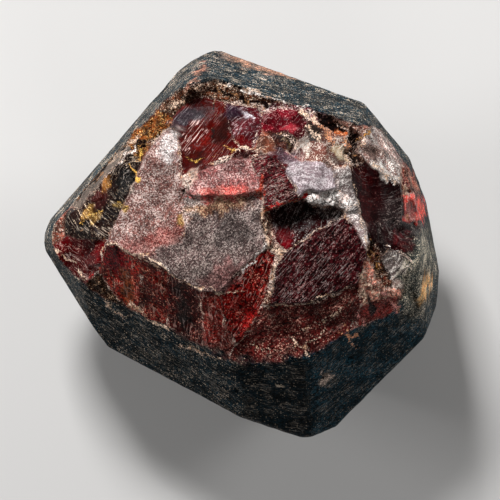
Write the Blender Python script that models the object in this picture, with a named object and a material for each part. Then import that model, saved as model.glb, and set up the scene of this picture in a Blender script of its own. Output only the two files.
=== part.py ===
"""Garnet crystal: one worn dodecahedral crystal, 20 mm across, with its upper face broken open.

The crystal lies on the flat face opposite the break, with the break upwards. The origin is on that
flat rest face, below the middle of the crystal, and +Z is up. Blender works in metres; the sizes
below are millimetres and are multiplied by MM once, where a shape is made.
"""

import math
import random

import bmesh
import bpy
from mathutils import Matrix, Vector

MM = 0.001

NAME = "garnet_crystal"
HEIGHT = 18.0  # rest face to the top of the break
BLANK = 30.0  # cube that the crystal faces are cut from
BLANK_BELOW = 1.0  # how far that cube starts below the rest face
EDGE_WEAR = 1.5  # radius that the crystal's edges are worn to
EDGE_STEPS = 3
LID = 20.0  # level above the crystal that every chip cutter reaches
CHIP_OVERLAP = 0.07  # how far each chip reaches past its outline into the next one
THINNEST_CHIP = 0.04  # every chip goes at least this far below the skin

# Each crystal face: the compass direction that it faces, in degrees from +X; its tilt from straight
# up, in degrees; how far it stands from the middle, at the height given last.
HABIT = {
    "top_flank": (74, 72, 8.85, 10),
    "upper_left_flank": (126, 83, 8.8, 9.2),
    "lower_left_flank": (139.5, 83, 7.95, 9.2),
    "left_foot_flank": (213.5, 77, 8.4, 9),
    "bottom_left_flank": (234.5, 60, 7.75, 9),
    "bottom_flank": (261, 52, 9.6, 9),
    "bottom_right_flank": (312, 57, 9.95, 9.2),
    "right_low_flank": (353, 79, 9.6, 10.4),
    "right_flank": (13.5, 83, 9, 11),
    "right_high_flank": (33.5, 80, 9.05, 11),
    "under_top": (62.5, 119, 8.65, 9.8),
    "under_left": (138, 118, 8.6, 9),
    "under_left_foot": (210.5, 102, 8.55, 8.6),
    "under_bottom_left": (247, 110, 7.65, 8.6),
    "under_bottom": (282, 112, 10.05, 8.6),
    "under_right_low": (316.5, 105, 9.8, 8.8),
    "under_right": (1, 107, 10.45, 9.6),
    "back_left": (182, 140, 9.8, 4),
    "back_right": (322, 141, 9.95, 3.6),
    "back_far_right": (30, 138, 10, 4.4),
    "back_bottom": (262, 142, 8.85, 3.4),
    "back_top_left": (104, 136, 8.6, 4.6),
}

# The broken upper face, chip by chip. Each outline lists its corners as x, y and the level that the
# chip's floor has there; a level below 0 is measured down from the skin instead. Where two chips
# share a corner at two levels, a ledge stands between them.
FRACTURES = {
    "pale_plate": [
        (-3.8, 5.75, 15), (-3.45, 5.85, 14.95), (-3.15, 5.55, 15.35), (-3.05, 4.6, 16), (-3, 3.3, 16.5),
        (-2.7, 2.95, 16.7), (-2.55, 2.4, 16.8), (-1.9, 2.2, 16.8), (-2.8, 0.45, 16.8), (-4.95, -0.7, 16.2),
        (-6.7, 0.05, 15.4), (-5.95, 1.8, 15.6), (-5.3, 3.1, 15.7), (-4.9, 4.2, 15.7), (-4.45, 4.95, 15.2),
    ],
    "grey_plate": [
        (-2.2, 2.2, 16.75), (-1.85, 2.3, 16.85), (-0.3, 2.3, 16.95), (1.05, 2.55, 17.1), (1.05, 1.1, 17.1),
        (1.35, -0.15, 17), (0.45, -0.9, 16.8), (-0.45, -1.8, 16.5), (-0.95, -2.45, 16.2),
        (-2.05, -2.4, 16.2), (-3.65, -1.35, 16.2), (-4.95, -0.7, 16.2), (-2.8, 0.45, 16.8),
    ],
    "rose_plate": [
        (-2.85, 3.35, 16.8), (-1.95, 3.7, 17.3), (-0.45, 4.2, 17.45), (0.45, 4.3, 17.55),
        (0.75, 3.45, 17.65), (1.05, 2.6, 17.65), (-0.3, 2.35, 17.5), (-1.9, 2.1, 17.3), (-2.6, 2.35, 17.1),
    ],
    "maroon_plate": [
        (0.45, 4.3, 17.5), (1.05, 4.45, 17.5), (1.7, 4.35, 17.5), (2.45, 3.2, 17.75), (2.95, 2.3, 17.65),
        (2.2, 1.9, 17.5), (1.2, 1.6, 17.5), (1.05, 2.6, 17.6), (0.75, 3.45, 17.6),
    ],
    "lilac_plate": [
        (1.15, 4.55, 17.45), (2.1, 4.5, 17.6), (2.95, 4.2, 17.8), (3.95, 4.05, 17.85), (4.65, 3.6, 17.75),
        (4.75, 2.7, 17.6), (3.95, 2.5, 17.7), (3.35, 2.6, 17.8), (2.95, 2.3, 17.75), (2.45, 3.2, 17.85),
        (1.7, 4.35, 17.6),
    ],
    "white_shelf": [
        (3.35, 2.6, 17.5), (3.95, 2.5, 17.45), (4.75, 2.7, 17.35), (5.55, 2.2, 17), (5.25, 1.55, 16.8),
        (4.45, 1.9, 17), (3.55, 1.9, 17.15), (2.95, 2.3, 17.4),
    ],
    "black_hollow": [
        (1.2, 1.55, 16.5), (2.3, 1.95, 16.1), (2.95, 2.3, 16.1), (3.55, 1.9, 15.9), (4.7, 1.85, 16),
        (5.15, 1.45, 16.2), (4.5, 1.05, 16.3), (3.5, 0.5, 16.4), (2.9, 0.1, 16.5), (2.2, -0.4, 16.6),
        (1.65, 0.05, 16.5),
    ],
    "striped_plate": [
        (2.95, 0.15, 16.9), (4.45, 1.05, 16.8), (5.1, 1.4, 16.7), (5.75, 0.7, 16.5), (6.25, -0.4, 16.2),
        (6.25, -1.1, 16), (5.75, -2, 15.8), (4.95, -2.35, 15.8), (3.85, -2.85, 16), (2.95, -3, 16.15),
        (1.25, -3, 16.3), (1.45, -2.3, 16.6), (1.65, -1.3, 16.9), (2.15, -0.4, 17),
    ],
    "blood_plate": [
        (1.35, -0.15, 16.8), (1.75, -0.6, 16.8), (1.6, -1.4, 16.6), (1.35, -2.3, 16.3),
        (1.05, -3.05, 15.9), (0.55, -4.05, 15.2), (-0.25, -5.05, 14.4), (-0.75, -4.3, 14.9),
        (-0.95, -2.45, 16), (-0.45, -1.8, 16.3), (0.45, -0.9, 16.7),
    ],
    "ember_facet_a": [
        (-6.7, 0.05, 15.3), (-4.95, -0.7, 16.1), (-5, -2.4, 13.9), (-5.1, -3.45, -0.1),
        (-5.75, -3.1, -0.1), (-6.45, -2.3, 12.9), (-7.05, -1.4, 13.2), (-6.9, -0.55, 14.4),
    ],
    "ember_facet_b": [
        (-4.95, -0.7, 16.1), (-3.65, -1.35, 16.1), (-3.65, -4.1, -0.1), (-4.55, -3.75, -0.1),
        (-5.1, -3.45, -0.1), (-5, -2.4, 13.7),
    ],
    "ember_facet_c": [
        (-3.65, -1.35, 16.1), (-2.05, -2.4, 16.1), (-1.75, -5.15, 13.4), (-2.75, -4.7, 13.2),
        (-3.65, -4.05, 13.2),
    ],
    "ember_facet_d": [
        (-2.05, -2.4, 16.1), (-0.95, -2.45, 16), (-0.75, -4.3, 14.8), (-0.25, -5.05, 14.2),
        (-0.65, -5.8, 13.4), (-1.75, -5.15, 13.4),
    ],
    "brown_plate": [
        (1.05, -3.05, 16), (2.95, -3, 16), (3.85, -2.85, 15.8), (4.95, -2.35, 15.6), (5.75, -2, 15.5),
        (6.05, -2.8, 15), (5.75, -4, -0.1), (4.25, -5.05, -0.05), (2.95, -5.7, -0.05),
        (1.05, -5.95, -0.05), (-0.65, -5.8, -0.05), (-0.25, -5.05, 14.2), (0.55, -4.05, 15.2),
    ],
    "pale_ridge": [
        (4.65, 3.8, 17.5), (5.25, 4.05, 17.2), (5.55, 2.95, 17), (5.85, 1.6, 16.8), (6.5, 0.1, 16.3),
        (6.35, -0.8, 16), (6.25, -0.4, 16.15), (5.75, 0.7, 16.5), (5.05, 1.5, 16.7), (5.55, 2.2, 17.1),
        (4.75, 2.7, 17.4),
    ],
    "garnet_window": [
        (5.35, 4, 16.4), (5.95, 4.1, 16), (6.55, 3.75, 15.6), (7.15, 3.45, 15), (7.85, 3.05, 14.2),
        (8, 2.7, 13.9), (8.05, 2.2, 13.7), (8.05, 1.15, 13.8), (7.2, 1.1, 14.7), (6.2, 1, 15.8),
        (5.85, 1.7, 16.2), (5.6, 2.7, 16.4),
    ],
    "slate_facet": [
        (6.2, 1, 15.7), (7.2, 1.1, 14.7), (8, 1.2, 13.8), (9, 1.15, -0.15), (8.9, 0.45, -0.1),
        (8.9, -0.3, -0.1), (8.55, -0.9, -0.15), (7.85, -0.4, 14.4), (7.35, -0.3, 15), (6.95, -0.5, 15.3),
        (6.7, 0.1, 15.7), (6.4, 0.05, 15.75), (6.25, 0.6, 15.9),
    ],
    "white_slab": [
        (6.2, 5.8, 14.9), (6.55, 5.85, -0.15), (6.95, 5.65, -0.1), (7.35, 5.25, -0.1), (7.8, 4.8, -0.1),
        (8.15, 4.35, -0.1), (8.05, 3.8, 12.9), (8, 3.4, 13.8), (7.9, 3, 14.1), (7.15, 3.5, 15.1),
        (6.55, 3.8, 15.7), (6.05, 4.2, 16), (5.8, 4.6, 15.9), (6.15, 5.2, 15.5),
    ],
    "eye_hollow": [
        (5.25, 5.8, 14.5), (5.8, 5.5, 14.2), (5.85, 4.9, 14.2), (5.75, 4.45, 14.6), (5.3, 4.6, 15),
    ],
    "edge_strip": [
        (8.05, 3.8, 12.8), (8.15, 4.35, -0.1), (8.5, 3.75, -0.1), (8.7, 3.2, -0.1), (8.95, 2.7, -0.1),
        (8.55, 2.55, 12.6), (8.05, 2.25, 13.3), (8, 2.7, 13.6), (7.95, 3.4, 13.6),
    ],
    "red_chip": [
        (8.05, 2.4, 13.2), (8.55, 2.6, 12.6), (8.95, 2.7, -0.15), (9.2, 2.2, -0.15), (9.3, 1.65, -0.15),
        (9.05, 1.2, -0.2), (8.05, 1.15, 13.5),
    ],
    "cream_crags": [
        (2.95, 5.1, 16.5), (3.1, 6.35, 15.6), (3.75, 6.2, 15.4), (4.45, 5.4, 15.6), (5.15, 5.3, 15.7),
        (5.25, 4.6, 16.3), (5.45, 4, 16.9), (4.65, 3.7, 17.3), (3.95, 4.05, 17.2), (2.95, 4.2, 17.2),
    ],
    "rim_undercut": [
        (3.35, 6.65, 14.3), (4.45, 6.25, 14.2), (5.25, 5.8, 14.2), (5.25, 5.2, 14.5), (4.45, 5.35, 14.6),
        (3.75, 6.15, 14.5),
    ],
    "crimson_facets": [
        (0.95, 6.6, 14.9), (2.1, 6.8, 14.6), (3.35, 6.55, 14.6), (3.3, 6.2, 15.2), (3.05, 4.95, 16.3),
        (2.25, 5.3, 15.8), (1.05, 5.55, 15.5),
    ],
    "dark_slot": [
        (1, 5.6, 15.35), (2.3, 5.5, 15.2), (2.85, 4.9, 15.6), (2.35, 4.55, 16), (1.65, 4.8, 15.7),
    ],
    "honey_chip": [
        (0.75, 5.55, 16.2), (1.05, 5.65, 16), (1.35, 5.35, 16.2), (1.75, 4.7, 16.9), (1.25, 4.5, 17),
        (0.6, 4.6, 16.7),
    ],
    "second_bowl": [
        (-0.85, 7.15, 14.5), (0.2, 7.1, 14.4), (1.05, 6.8, 14.5), (1.05, 5.55, 15.6), (0.65, 4.65, 16.3),
        (-0.05, 4.7, 16), (-0.6, 5.8, 15.2),
    ],
    "red_shelf": [
        (-2.65, 3.3, 16.2), (-2.3, 3.6, 16.1), (-1.75, 3.8, 16.1), (-0.45, 4.4, 16.4), (-0.05, 4.7, 16),
        (0.65, 4.65, 16.3), (1.25, 4.5, 16.5), (0.45, 4.25, 16.8), (-0.45, 4.2, 16.8), (-1.95, 3.65, 16.6),
    ],
    "top_crumble": [
        (-4.2, 6.65, -0.3), (-3.8, 7.1, -0.35), (-3.45, 7.4, -0.4), (-3.05, 7.7, -0.45),
        (-2.55, 7.85, -0.5), (-1.8, 8, -0.5), (-1.2, 8.1, -0.5), (-0.05, 7.75, -0.5), (0.85, 7.35, -0.5),
        (1.7, 7.05, -0.45), (1.05, 6.75, 14.3), (-0.85, 7.1, 14.1), (-1.8, 7.25, 14), (-2.85, 6.9, 13.9),
        (-3.45, 6.3, 13.9),
    ],
    "red_slope": [
        (-3.45, 6.3, 14), (-2.85, 6.9, 14), (-1.8, 7.25, 14.1), (-0.85, 7.1, 14.3), (-0.6, 5.8, 15.2),
        (-0.05, 4.7, 16.1), (-0.45, 4.35, 16.5), (-1.75, 3.75, 16.5), (-2.3, 3.55, 16.5),
        (-2.95, 3.3, 16.5), (-3.1, 4.7, 15.9), (-3.15, 5.55, 15.3), (-3.45, 5.95, 14.4),
    ],
    "ochre_band": [
        (-5.7, 5.1, -0.2), (-5.4, 5.65, -0.25), (-5.05, 5.8, -0.2), (-4.55, 6.25, -0.25),
        (-4.2, 6.7, -0.3), (-3.45, 6.3, 13.9), (-3.4, 5.9, 14.4), (-3.8, 5.7, 14.6), (-4.45, 4.9, 14.6),
        (-4.9, 4.15, 14.5), (-5.5, 4.7, 13.6),
    ],
    "pale_ledge": [
        (-8.55, 1.9, -0.35), (-8.05, 2.55, -0.4), (-7.65, 3.1, -0.4), (-7.2, 3.55, -0.45),
        (-6.85, 3.9, -0.45), (-6.35, 4.3, -0.45), (-6.15, 4.7, -0.4), (-5.7, 5.1, -0.3), (-5.5, 4.7, 13.5),
        (-6, 4.05, 13.4), (-6.85, 3.2, 13.1), (-7.45, 2.5, 12.8), (-8.05, 1.7, 12.4),
    ],
    "left_hollow": [
        (-8.05, 1.7, 12.3), (-7.45, 2.5, 12.6), (-6.85, 3.2, 12.9), (-6, 4.05, 13.2), (-5.5, 4.7, 13.4),
        (-4.9, 4.15, 14.3), (-5.3, 3.1, 14.1), (-5.95, 1.8, 13.9), (-6.65, 0.2, 13.7), (-7.75, 0.2, 12.9),
        (-8.75, 0.4, 11.6), (-8.95, 1.1, 11.3), (-8.55, 1.8, -0.35),
    ],
    "left_tip": [
        (-8.55, 1.9, -0.3), (-8.95, 1.1, 11.2), (-8.75, 0.35, 11.5), (-9.5, -0.15, -0.1),
        (-9.7, 0.3, -0.1), (-9.6, 1, -0.1), (-9.1, 1.55, -0.1),
    ],
    "left_toe": [
        (-9.5, -0.15, -0.1), (-8.75, 0.35, 11.9), (-7.75, 0.2, 12.9), (-6.65, 0.2, 13.7),
        (-6.9, -0.6, 14.1), (-7.05, -1.4, 13.2), (-7.75, -2, -0.1), (-8.4, -1.5, -0.1),
        (-9.05, -0.7, -0.1),
    ],
    "toe_rim": [
        (-7.05, -1.4, 13.1), (-6.45, -2.3, 12.8), (-5.7, -3.1, -0.1), (-6.25, -2.95, -0.1),
        (-7.05, -2.6, -0.1), (-7.75, -2, -0.1),
    ],
    "dark_gash": [
        (6.25, -0.1, 15.4), (6.5, 0.1, 15.5), (6.75, 0.05, 15.3), (7, -0.6, 14.8), (7.2, -1.35, 14.3),
        (7.5, -1.85, 13.9), (7.6, -2.05, 13.8), (7.45, -2.2, 13.9), (7.15, -2.15, 14.2),
        (6.8, -1.75, 14.5), (6.5, -1.1, 14.9), (6.3, -0.7, 15.3),
    ],
    "pink_gash": [
        (6.15, -0.9, 15.7), (6.3, -0.7, 15.5), (6.5, -1.1, 15.2), (6.85, -1.8, 14.8), (7.25, -2.25, 14.4),
        (7.5, -2.1, 14.1), (7.75, -2.2, 14), (8.2, -2.35, -0.15), (8, -2.7, -0.1), (7.35, -2.65, 14.3),
        (6.75, -2.75, 14.7), (6.1, -3, 15), (5.8, -2.15, 15.5),
    ],
    "conchoid_patch": [
        (6.95, -0.6, 15.1), (7.35, -0.35, 14.9), (7.85, -0.4, 14.3), (8.55, -0.9, -0.15),
        (8.25, -1.3, -0.2), (7.95, -1.75, 13.6), (7.5, -1.85, 14.1), (7.15, -1.35, 14.6),
    ],
    "brick_facet": [
        (6.1, -3, 14.9), (6.75, -2.75, 14.6), (7.35, -2.65, 14.2), (8, -2.7, -0.1), (7.8, -3.05, -0.1),
        (7.25, -3.65, -0.1), (6.55, -3.9, -0.1), (5.75, -4.1, -0.1), (5.45, -4.2, -0.1),
    ],
    "flank_crack": [
        (8.3, -2.2, -0.35), (8.5, -2.25, -0.35), (8.7, -2.8, -0.4), (8.8, -3.25, -0.3), (8.6, -3.25, -0.3),
        (8.4, -2.7, -0.4),
    ],
    "cream_vein": [
        (1, 1.75, 17.15), (1.35, 1.75, 17), (1.75, 0.1, 16.85), (2.25, -0.35, 16.9), (1.8, -0.9, 16.85),
        (1.6, -2.3, 16.65), (1.35, -3.15, 16.3), (0.95, -3.15, 16.2), (1.3, -2.3, 16.5),
        (1.55, -1.4, 16.7), (1.7, -0.65, 16.9), (1.3, -0.15, 17.05), (1, 1.1, 17.15),
    ],
    "rim_crumbs": [
        (4.35, 6.35, -0.1), (5.2, 6.05, -0.1), (5.95, 5.9, -0.1), (6.6, 5.85, -0.1), (6.25, 5.65, 14.7),
        (6.15, 5.1, 15.2), (5.8, 4.85, 14.9), (5.75, 5.4, 14.6), (5.25, 5.75, 14.5), (4.85, 5.95, 14.4),
    ],
    "top_slot": [
        (0.95, 6.85, 14.2), (1.7, 7.05, -0.4), (2.45, 6.9, -0.4), (3.5, 6.7, -0.4), (3.85, 6.1, 14.6),
        (3.2, 6.15, 14.8), (3.25, 6.55, 14.5), (2.1, 6.75, 14.4), (1.05, 6.55, 14.5),
    ],
    "crag_foot": [
        (2.15, 5.5, 16), (3.1, 5.2, 16.5), (3.1, 4.05, 17.3), (2.1, 4.45, 17.2), (1.35, 4.45, 17),
        (1.75, 4.7, 16.9), (2.4, 4.55, 16.1), (2.65, 4.9, 15.8),
    ],
    "grey_sill": [
        (7.5, -1.85, 14), (7.95, -1.7, 13.8), (8.25, -1.3, -0.1), (8.1, -1.9, -0.1), (8.2, -2.35, -0.1),
        (7.75, -2.2, 13.9), (7.45, -2.15, 13.9),
    ],
    "window_sill": [
        (5.2, 4.6, 16.1), (5.75, 4.5, 15.7), (6.25, 4.05, 15.8), (6, 4, 16), (5.3, 3.85, 16.4),
    ],
}

# Where the skin ends, all the way round. Inside it the crystal is first cut down to a low dome.
RIM = [
    (-9.1, 1.55), (-8.55, 1.9), (-8.05, 2.55), (-7.65, 3.1), (-7.2, 3.55), (-6.85, 3.9), (-6.35, 4.3),
    (-6.15, 4.7), (-5.7, 5.1), (-5.4, 5.65), (-5.05, 5.8), (-4.55, 6.25), (-4.2, 6.7), (-3.8, 7.1),
    (-3.45, 7.4), (-3.05, 7.7), (-2.55, 7.85), (-1.8, 8), (-1.2, 8.1), (-0.05, 7.75), (0.85, 7.35),
    (1.7, 7.05), (2.45, 6.9), (3.45, 6.7), (4.45, 6.3), (5.2, 6.05), (5.95, 5.9), (6.55, 5.85),
    (6.95, 5.65), (7.35, 5.25), (7.8, 4.8), (8.15, 4.35), (8.5, 3.75), (8.7, 3.2), (8.95, 2.7), (9.2, 2.2),
    (9.3, 1.65), (9.05, 1.15), (8.9, 0.45), (8.9, -0.3), (8.55, -0.9), (8.2, -1.4), (8.05, -1.9),
    (8.2, -2.35), (8, -2.7), (7.8, -3.05), (7.25, -3.65), (6.55, -3.9), (5.75, -4.1), (4.25, -5.05),
    (2.95, -5.7), (1.05, -5.95), (-0.65, -5.85), (-1.75, -5.2), (-2.75, -4.75), (-3.65, -4.1),
    (-4.55, -3.75), (-5.1, -3.45), (-5.75, -3.1), (-6.25, -2.95), (-7.05, -2.6), (-7.75, -2), (-8.4, -1.5),
    (-9.05, -0.7), (-9.45, -0.15), (-9.7, 0.3), (-9.6, 1),
]
DOME_MIDDLE = Vector((2.4, 3.2, 17.95))
LOWEST_RIM = 11.3  # the break never comes further down the sides than this
HIGHEST_RIM = 14.8  # and the skin never stands higher than this where the break starts
CAP_REACH = 1.6  # the dome cutter carries on past the skin, this many times as far out
# Rings of the dome from the skin inwards: how far out each ring stands, and how far below the middle,
# both as shares of the ring before.
DOME_RINGS = [(0.95, 0.78), (0.9, 0.58), (0.82, 0.38), (0.64, 0.12)]

# How far the middle of a chip's floor lies below its rim (a conchoidal hollow); less than 0 swells up.
HOLLOWED = {
    "red_slope": 0.6, "second_bowl": 0.35, "black_hollow": 0.4, "crimson_facets": 0.22,
    "conchoid_patch": 0.3, "garnet_window": 0.2, "slate_facet": 0.14, "eye_hollow": 0.3,
    "dark_slot": 0.15, "red_chip": 0.16, "ember_facet_a": 0.12, "ember_facet_b": 0.1,
    "ember_facet_c": 0.16, "ember_facet_d": -0.1, "left_toe": 0.25, "rim_undercut": 0.12,
    "brick_facet": 0.08, "maroon_plate": 0.05, "rose_plate": -0.05, "pale_plate": -0.14,
    "grey_plate": -0.1, "striped_plate": -0.14, "brown_plate": -0.16, "blood_plate": -0.1,
    "white_slab": -0.12, "ochre_band": 0.12, "cream_crags": 0.1,
}
FLOOR_RINGS = [0.8, 0.56, 0.3]  # rings of corners inside a hollowed floor, as shares of its outline
GRIT = 0.035  # how far those corners stray up or down

# Worn steps on the skin, where one growth layer ends: the crystal face, how far the step's edge lies
# above that face's level in HABIT (measured up the face), and how thick the missing layer is.
GROWTH_STEPS = [
    ("top_flank", 2.3, 0.05), ("top_flank", 0.8, 0.1), ("bottom_left_flank", 2.6, 0.06),
    ("bottom_left_flank", 1.1, 0.12), ("bottom_flank", 2.4, 0.05), ("bottom_right_flank", 1.2, 0.06),
    ("under_left", -4.6, 0.05), ("under_bottom", -3.0, 0.05), ("under_top", -3.2, 0.04),
]

# Pits in the skin: middle, radius.
PITS = [
    ((-0.25, -7.4), 0.26), ((4.2, -6.7), 0.3), ((-3.05, -6.05), 0.22), ((1.05, -7.8), 0.18),
    ((5.45, -5.8), 0.26), ((-4.6, -5.1), 0.2), ((2.95, 8.0), 0.2), ((0.45, 8.6), 0.16),
    ((7.9, -4.6), 0.22), ((2.3, -8.4), 0.2),
]
PIT_SINK = 0.7  # share of a pit's radius that its ball stands clear of the skin

# Shallow knocks along the hidden edges, each left by a ball: its compass direction and level, the
# ball's radius, and how deep it bites.
KNOCKS = [
    (100, 5.2, 4.5, 0.3), (178, 5.5, 4.0, 0.35), (232, 4.5, 5.0, 0.3), (300, 5.5, 4.0, 0.3),
    (352, 5.6, 4.5, 0.32), (40, 6.5, 4.0, 0.3), (262, 2.6, 3.5, 0.25), (137, 1.8, 3.5, 0.25),
    (118, 9.0, 3.0, 0.16), (208, 9.2, 3.0, 0.16),
]
KNOCK_TURN = 8  # how sharply a knock turns from facing off an edge to facing off the nearer face
BALL_FACETS = 3  # how finely the balls behind pits and knocks are divided


def facing(compass, tilt):
    """Unit vector that leans by tilt from straight up, towards a compass direction."""
    a, t = math.radians(compass), math.radians(tilt)
    return Vector((math.sin(t) * math.cos(a), math.sin(t) * math.sin(a), math.cos(t)))


def collection(name):
    made = bpy.data.collections.new(name)
    bpy.context.scene.collection.children.link(made)
    return made


def place(bm, name, group):
    """Turns a bmesh in millimetres into an object in metres, in a collection."""
    bmesh.ops.scale(bm, verts=bm.verts, vec=(MM, MM, MM))
    bmesh.ops.recalc_face_normals(bm, faces=bm.faces)
    mesh = bpy.data.meshes.new(name)
    bm.to_mesh(mesh)
    bm.free()
    obj = bpy.data.objects.new(name, mesh)
    group.objects.link(obj)
    return obj


def slice_off(bm, point, normal):
    """Cuts away what lies beyond a plane and closes the cut with one flat face."""
    cut = bmesh.ops.bisect_plane(
        bm, geom=bm.verts[:] + bm.edges[:] + bm.faces[:], plane_co=point, plane_no=normal, clear_outer=True
    )
    rim = [e for e in cut["geom_cut"] if isinstance(e, bmesh.types.BMEdge)]
    if rim:
        bmesh.ops.contextual_create(bm, geom=rim)


def crystal_blank():
    """The whole crystal before it was broken: a cube cut back to the crystal's own faces."""
    bm = bmesh.new()
    bmesh.ops.create_cube(bm, size=BLANK, matrix=Matrix.Translation((0, 0, BLANK / 2 - BLANK_BELOW)))
    slice_off(bm, Vector((0, 0, HEIGHT)), Vector((0, 0, 1)))
    slice_off(bm, Vector((0, 0, 0)), Vector((0, 0, -1)))
    for compass, tilt, reach, level in HABIT.values():
        outward = facing(compass, 90)
        slice_off(bm, outward * reach + Vector((0, 0, level)), facing(compass, tilt))
    bmesh.ops.recalc_face_normals(bm, faces=bm.faces)
    wear_edges(bm)
    return bm


def wear_edges(bm):
    """Rounds every edge back with flats that touch one round profile along it."""
    flats = []
    for edge in bm.edges:
        one, two = (f.normal.copy() for f in edge.link_faces)
        centre = edge.verts[0].co - (one + two) * EDGE_WEAR / (1 + one.dot(two))
        for step in range(1, EDGE_STEPS + 1):
            normal = one.slerp(two, step / (EDGE_STEPS + 1))
            flats.append((centre + normal * EDGE_WEAR, normal))
    for point, normal in flats:
        slice_off(bm, point, normal)


def skin_level(x, y):
    """Level of the unbroken skin above a point, and never lower than the lowest rim."""
    levels = [HEIGHT]
    for compass, tilt, reach, level in HABIT.values():
        if tilt < 90:
            out = x * math.cos(math.radians(compass)) + y * math.sin(math.radians(compass))
            levels.append(level + (reach - out) * math.tan(math.radians(tilt)))
    return max(LOWEST_RIM, min(levels))


def floor_level(x, y, level):
    """Level of a chip's corner, which may be given as a depth below the skin."""
    skin = skin_level(x, y)
    return skin + level if level < 0 else min(level, skin - THINNEST_CHIP)


def swollen(outline):
    """The outline with each corner pushed outwards by CHIP_OVERLAP."""
    flat = [Vector(p[:2]) for p in outline]
    turn = sum(a.cross(b) for a, b in zip(flat, flat[1:] + flat[:1]))
    side = 1 if turn > 0 else -1
    pushed = []
    for before, here, after, corner in zip(flat[-1:] + flat[:-1], flat, flat[1:] + flat[:1], outline):
        along = ((here - before).normalized() + (after - here).normalized()).normalized()
        out = Vector((along.y, -along.x)) * side * CHIP_OVERLAP
        pushed.append(Vector((here.x + out.x, here.y + out.y, floor_level(*corner))))
    return pushed


def as_cutter(bm, name, group):
    cutter = place(bm, "cut_" + name, group)
    cutter.display_type = "WIRE"
    cutter.hide_render = True


def lift_off(bm, floor):
    """Turns a floor into a closed block that reaches up past the crystal."""
    raised = bmesh.ops.extrude_face_region(bm, geom=floor)["geom"]
    for v in raised:
        if isinstance(v, bmesh.types.BMVert):
            v.co.z = LID
    bmesh.ops.triangulate(bm, faces=bm.faces[:])


def ring_out(bm, edges, reach, drop):
    """Extrudes a ring of edges, and scales the new ring about the middle of the dome."""
    made = bmesh.ops.extrude_edge_only(bm, edges=edges)["geom"]
    for v in made:
        if isinstance(v, bmesh.types.BMVert):
            apart = v.co - DOME_MIDDLE
            v.co = DOME_MIDDLE + Vector((apart.x * reach, apart.y * reach, apart.z * drop))
    return [e for e in made if isinstance(e, bmesh.types.BMEdge) and e.is_boundary]


def cap_cutter(group):
    """The first break: a low dome that starts from the skin all the way round."""
    bm = bmesh.new()
    rim = bm.faces.new([bm.verts.new((x, y, min(HIGHEST_RIM, skin_level(x, y)))) for x, y in RIM])
    start = list(rim.edges)
    bmesh.ops.delete(bm, geom=[rim], context="FACES_ONLY")
    ring = start
    for reach, drop in DOME_RINGS:
        ring = ring_out(bm, ring, reach, drop)
    bmesh.ops.contextual_create(bm, geom=ring)
    ring_out(bm, start, CAP_REACH, 1)
    lift_off(bm, bm.faces[:])
    as_cutter(bm, "cap", group)


def hollow_floor(bm, floor, sag, chance):
    """Rings of corners inside a floor, lowered towards the middle and roughened a little."""
    middle = floor.calc_center_median()
    ring = list(floor.edges)
    bmesh.ops.delete(bm, geom=[floor], context="FACES_ONLY")
    before = 1
    for share in FLOOR_RINGS:
        drop = sag * (before**2 - share**2)
        made = bmesh.ops.extrude_edge_only(bm, edges=ring)["geom"]
        for v in made:
            if isinstance(v, bmesh.types.BMVert):
                v.co = middle + (v.co - middle) * share / before
                v.co.z -= drop + chance.uniform(-GRIT, GRIT) * share
        middle.z -= drop
        ring = [e for e in made if isinstance(e, bmesh.types.BMEdge) and e.is_boundary]
        before = share
    bmesh.ops.contextual_create(bm, geom=ring)


def chip_cutter(name, outline, group):
    """A prism that stands on the chip's floor."""
    bm = bmesh.new()
    floor = bm.faces.new([bm.verts.new(p) for p in swollen(outline)])
    if name in HOLLOWED:
        hollow_floor(bm, floor, HOLLOWED[name], random.Random(name))
    lift_off(bm, bm.faces[:])
    as_cutter(bm, name, group)


def step_cutter(name, face, up, thick, group):
    """A slab that takes one growth layer off the part of a face below a line."""
    compass, tilt, reach, level = HABIT[face]
    normal, along = facing(compass, tilt), facing(compass + 90, 90)
    rise = normal.cross(along)
    rise *= math.copysign(1, rise.z)
    edge = facing(compass, 90) * reach + Vector((0, 0, level)) + rise * up - normal * thick
    axes = Matrix((along, rise, normal)).transposed().to_4x4()
    bm = bmesh.new()
    bmesh.ops.create_cube(bm, size=BLANK)
    bmesh.ops.translate(bm, verts=bm.verts, vec=(0, -BLANK / 2, BLANK / 2))
    bmesh.ops.transform(bm, verts=bm.verts, matrix=Matrix.Translation(edge) @ axes)
    as_cutter(bm, name, group)


def knock_middle(compass, level, radius, bite):
    """Middle of the ball that bites a given depth into the edge or face at a direction and level."""
    out = facing(compass, 90)
    faces = []
    for towards, tilt, reach, at in HABIT.values():
        normal = facing(towards, tilt)
        if normal.dot(out) > 0:
            known = facing(towards, 90) * reach + Vector((0, 0, at - level))
            faces.append((normal.dot(known) / normal.dot(out), normal))
    (near, one), (far, two) = sorted(faces, key=lambda f: f[0])[:2]
    normal = (one * far + two * near * (near / far) ** KNOCK_TURN).normalized()
    return out * near + Vector((0, 0, level)) + normal * (radius - bite)


def ball_cutter(name, middle, radius, group):
    bm = bmesh.new()
    bmesh.ops.create_icosphere(bm, subdivisions=BALL_FACETS, radius=radius)
    bmesh.ops.translate(bm, verts=bm.verts, vec=middle)
    as_cutter(bm, name, group)


def garnet_material():
    made = bpy.data.materials.new("garnet")
    made.use_nodes = True
    shader = made.node_tree.nodes["Principled BSDF"]
    shader.inputs["Base Color"].default_value = (0.16, 0.045, 0.045, 1)
    shader.inputs["Roughness"].default_value = 0.35
    shader.inputs["Metallic"].default_value = 0.0
    return made


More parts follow.
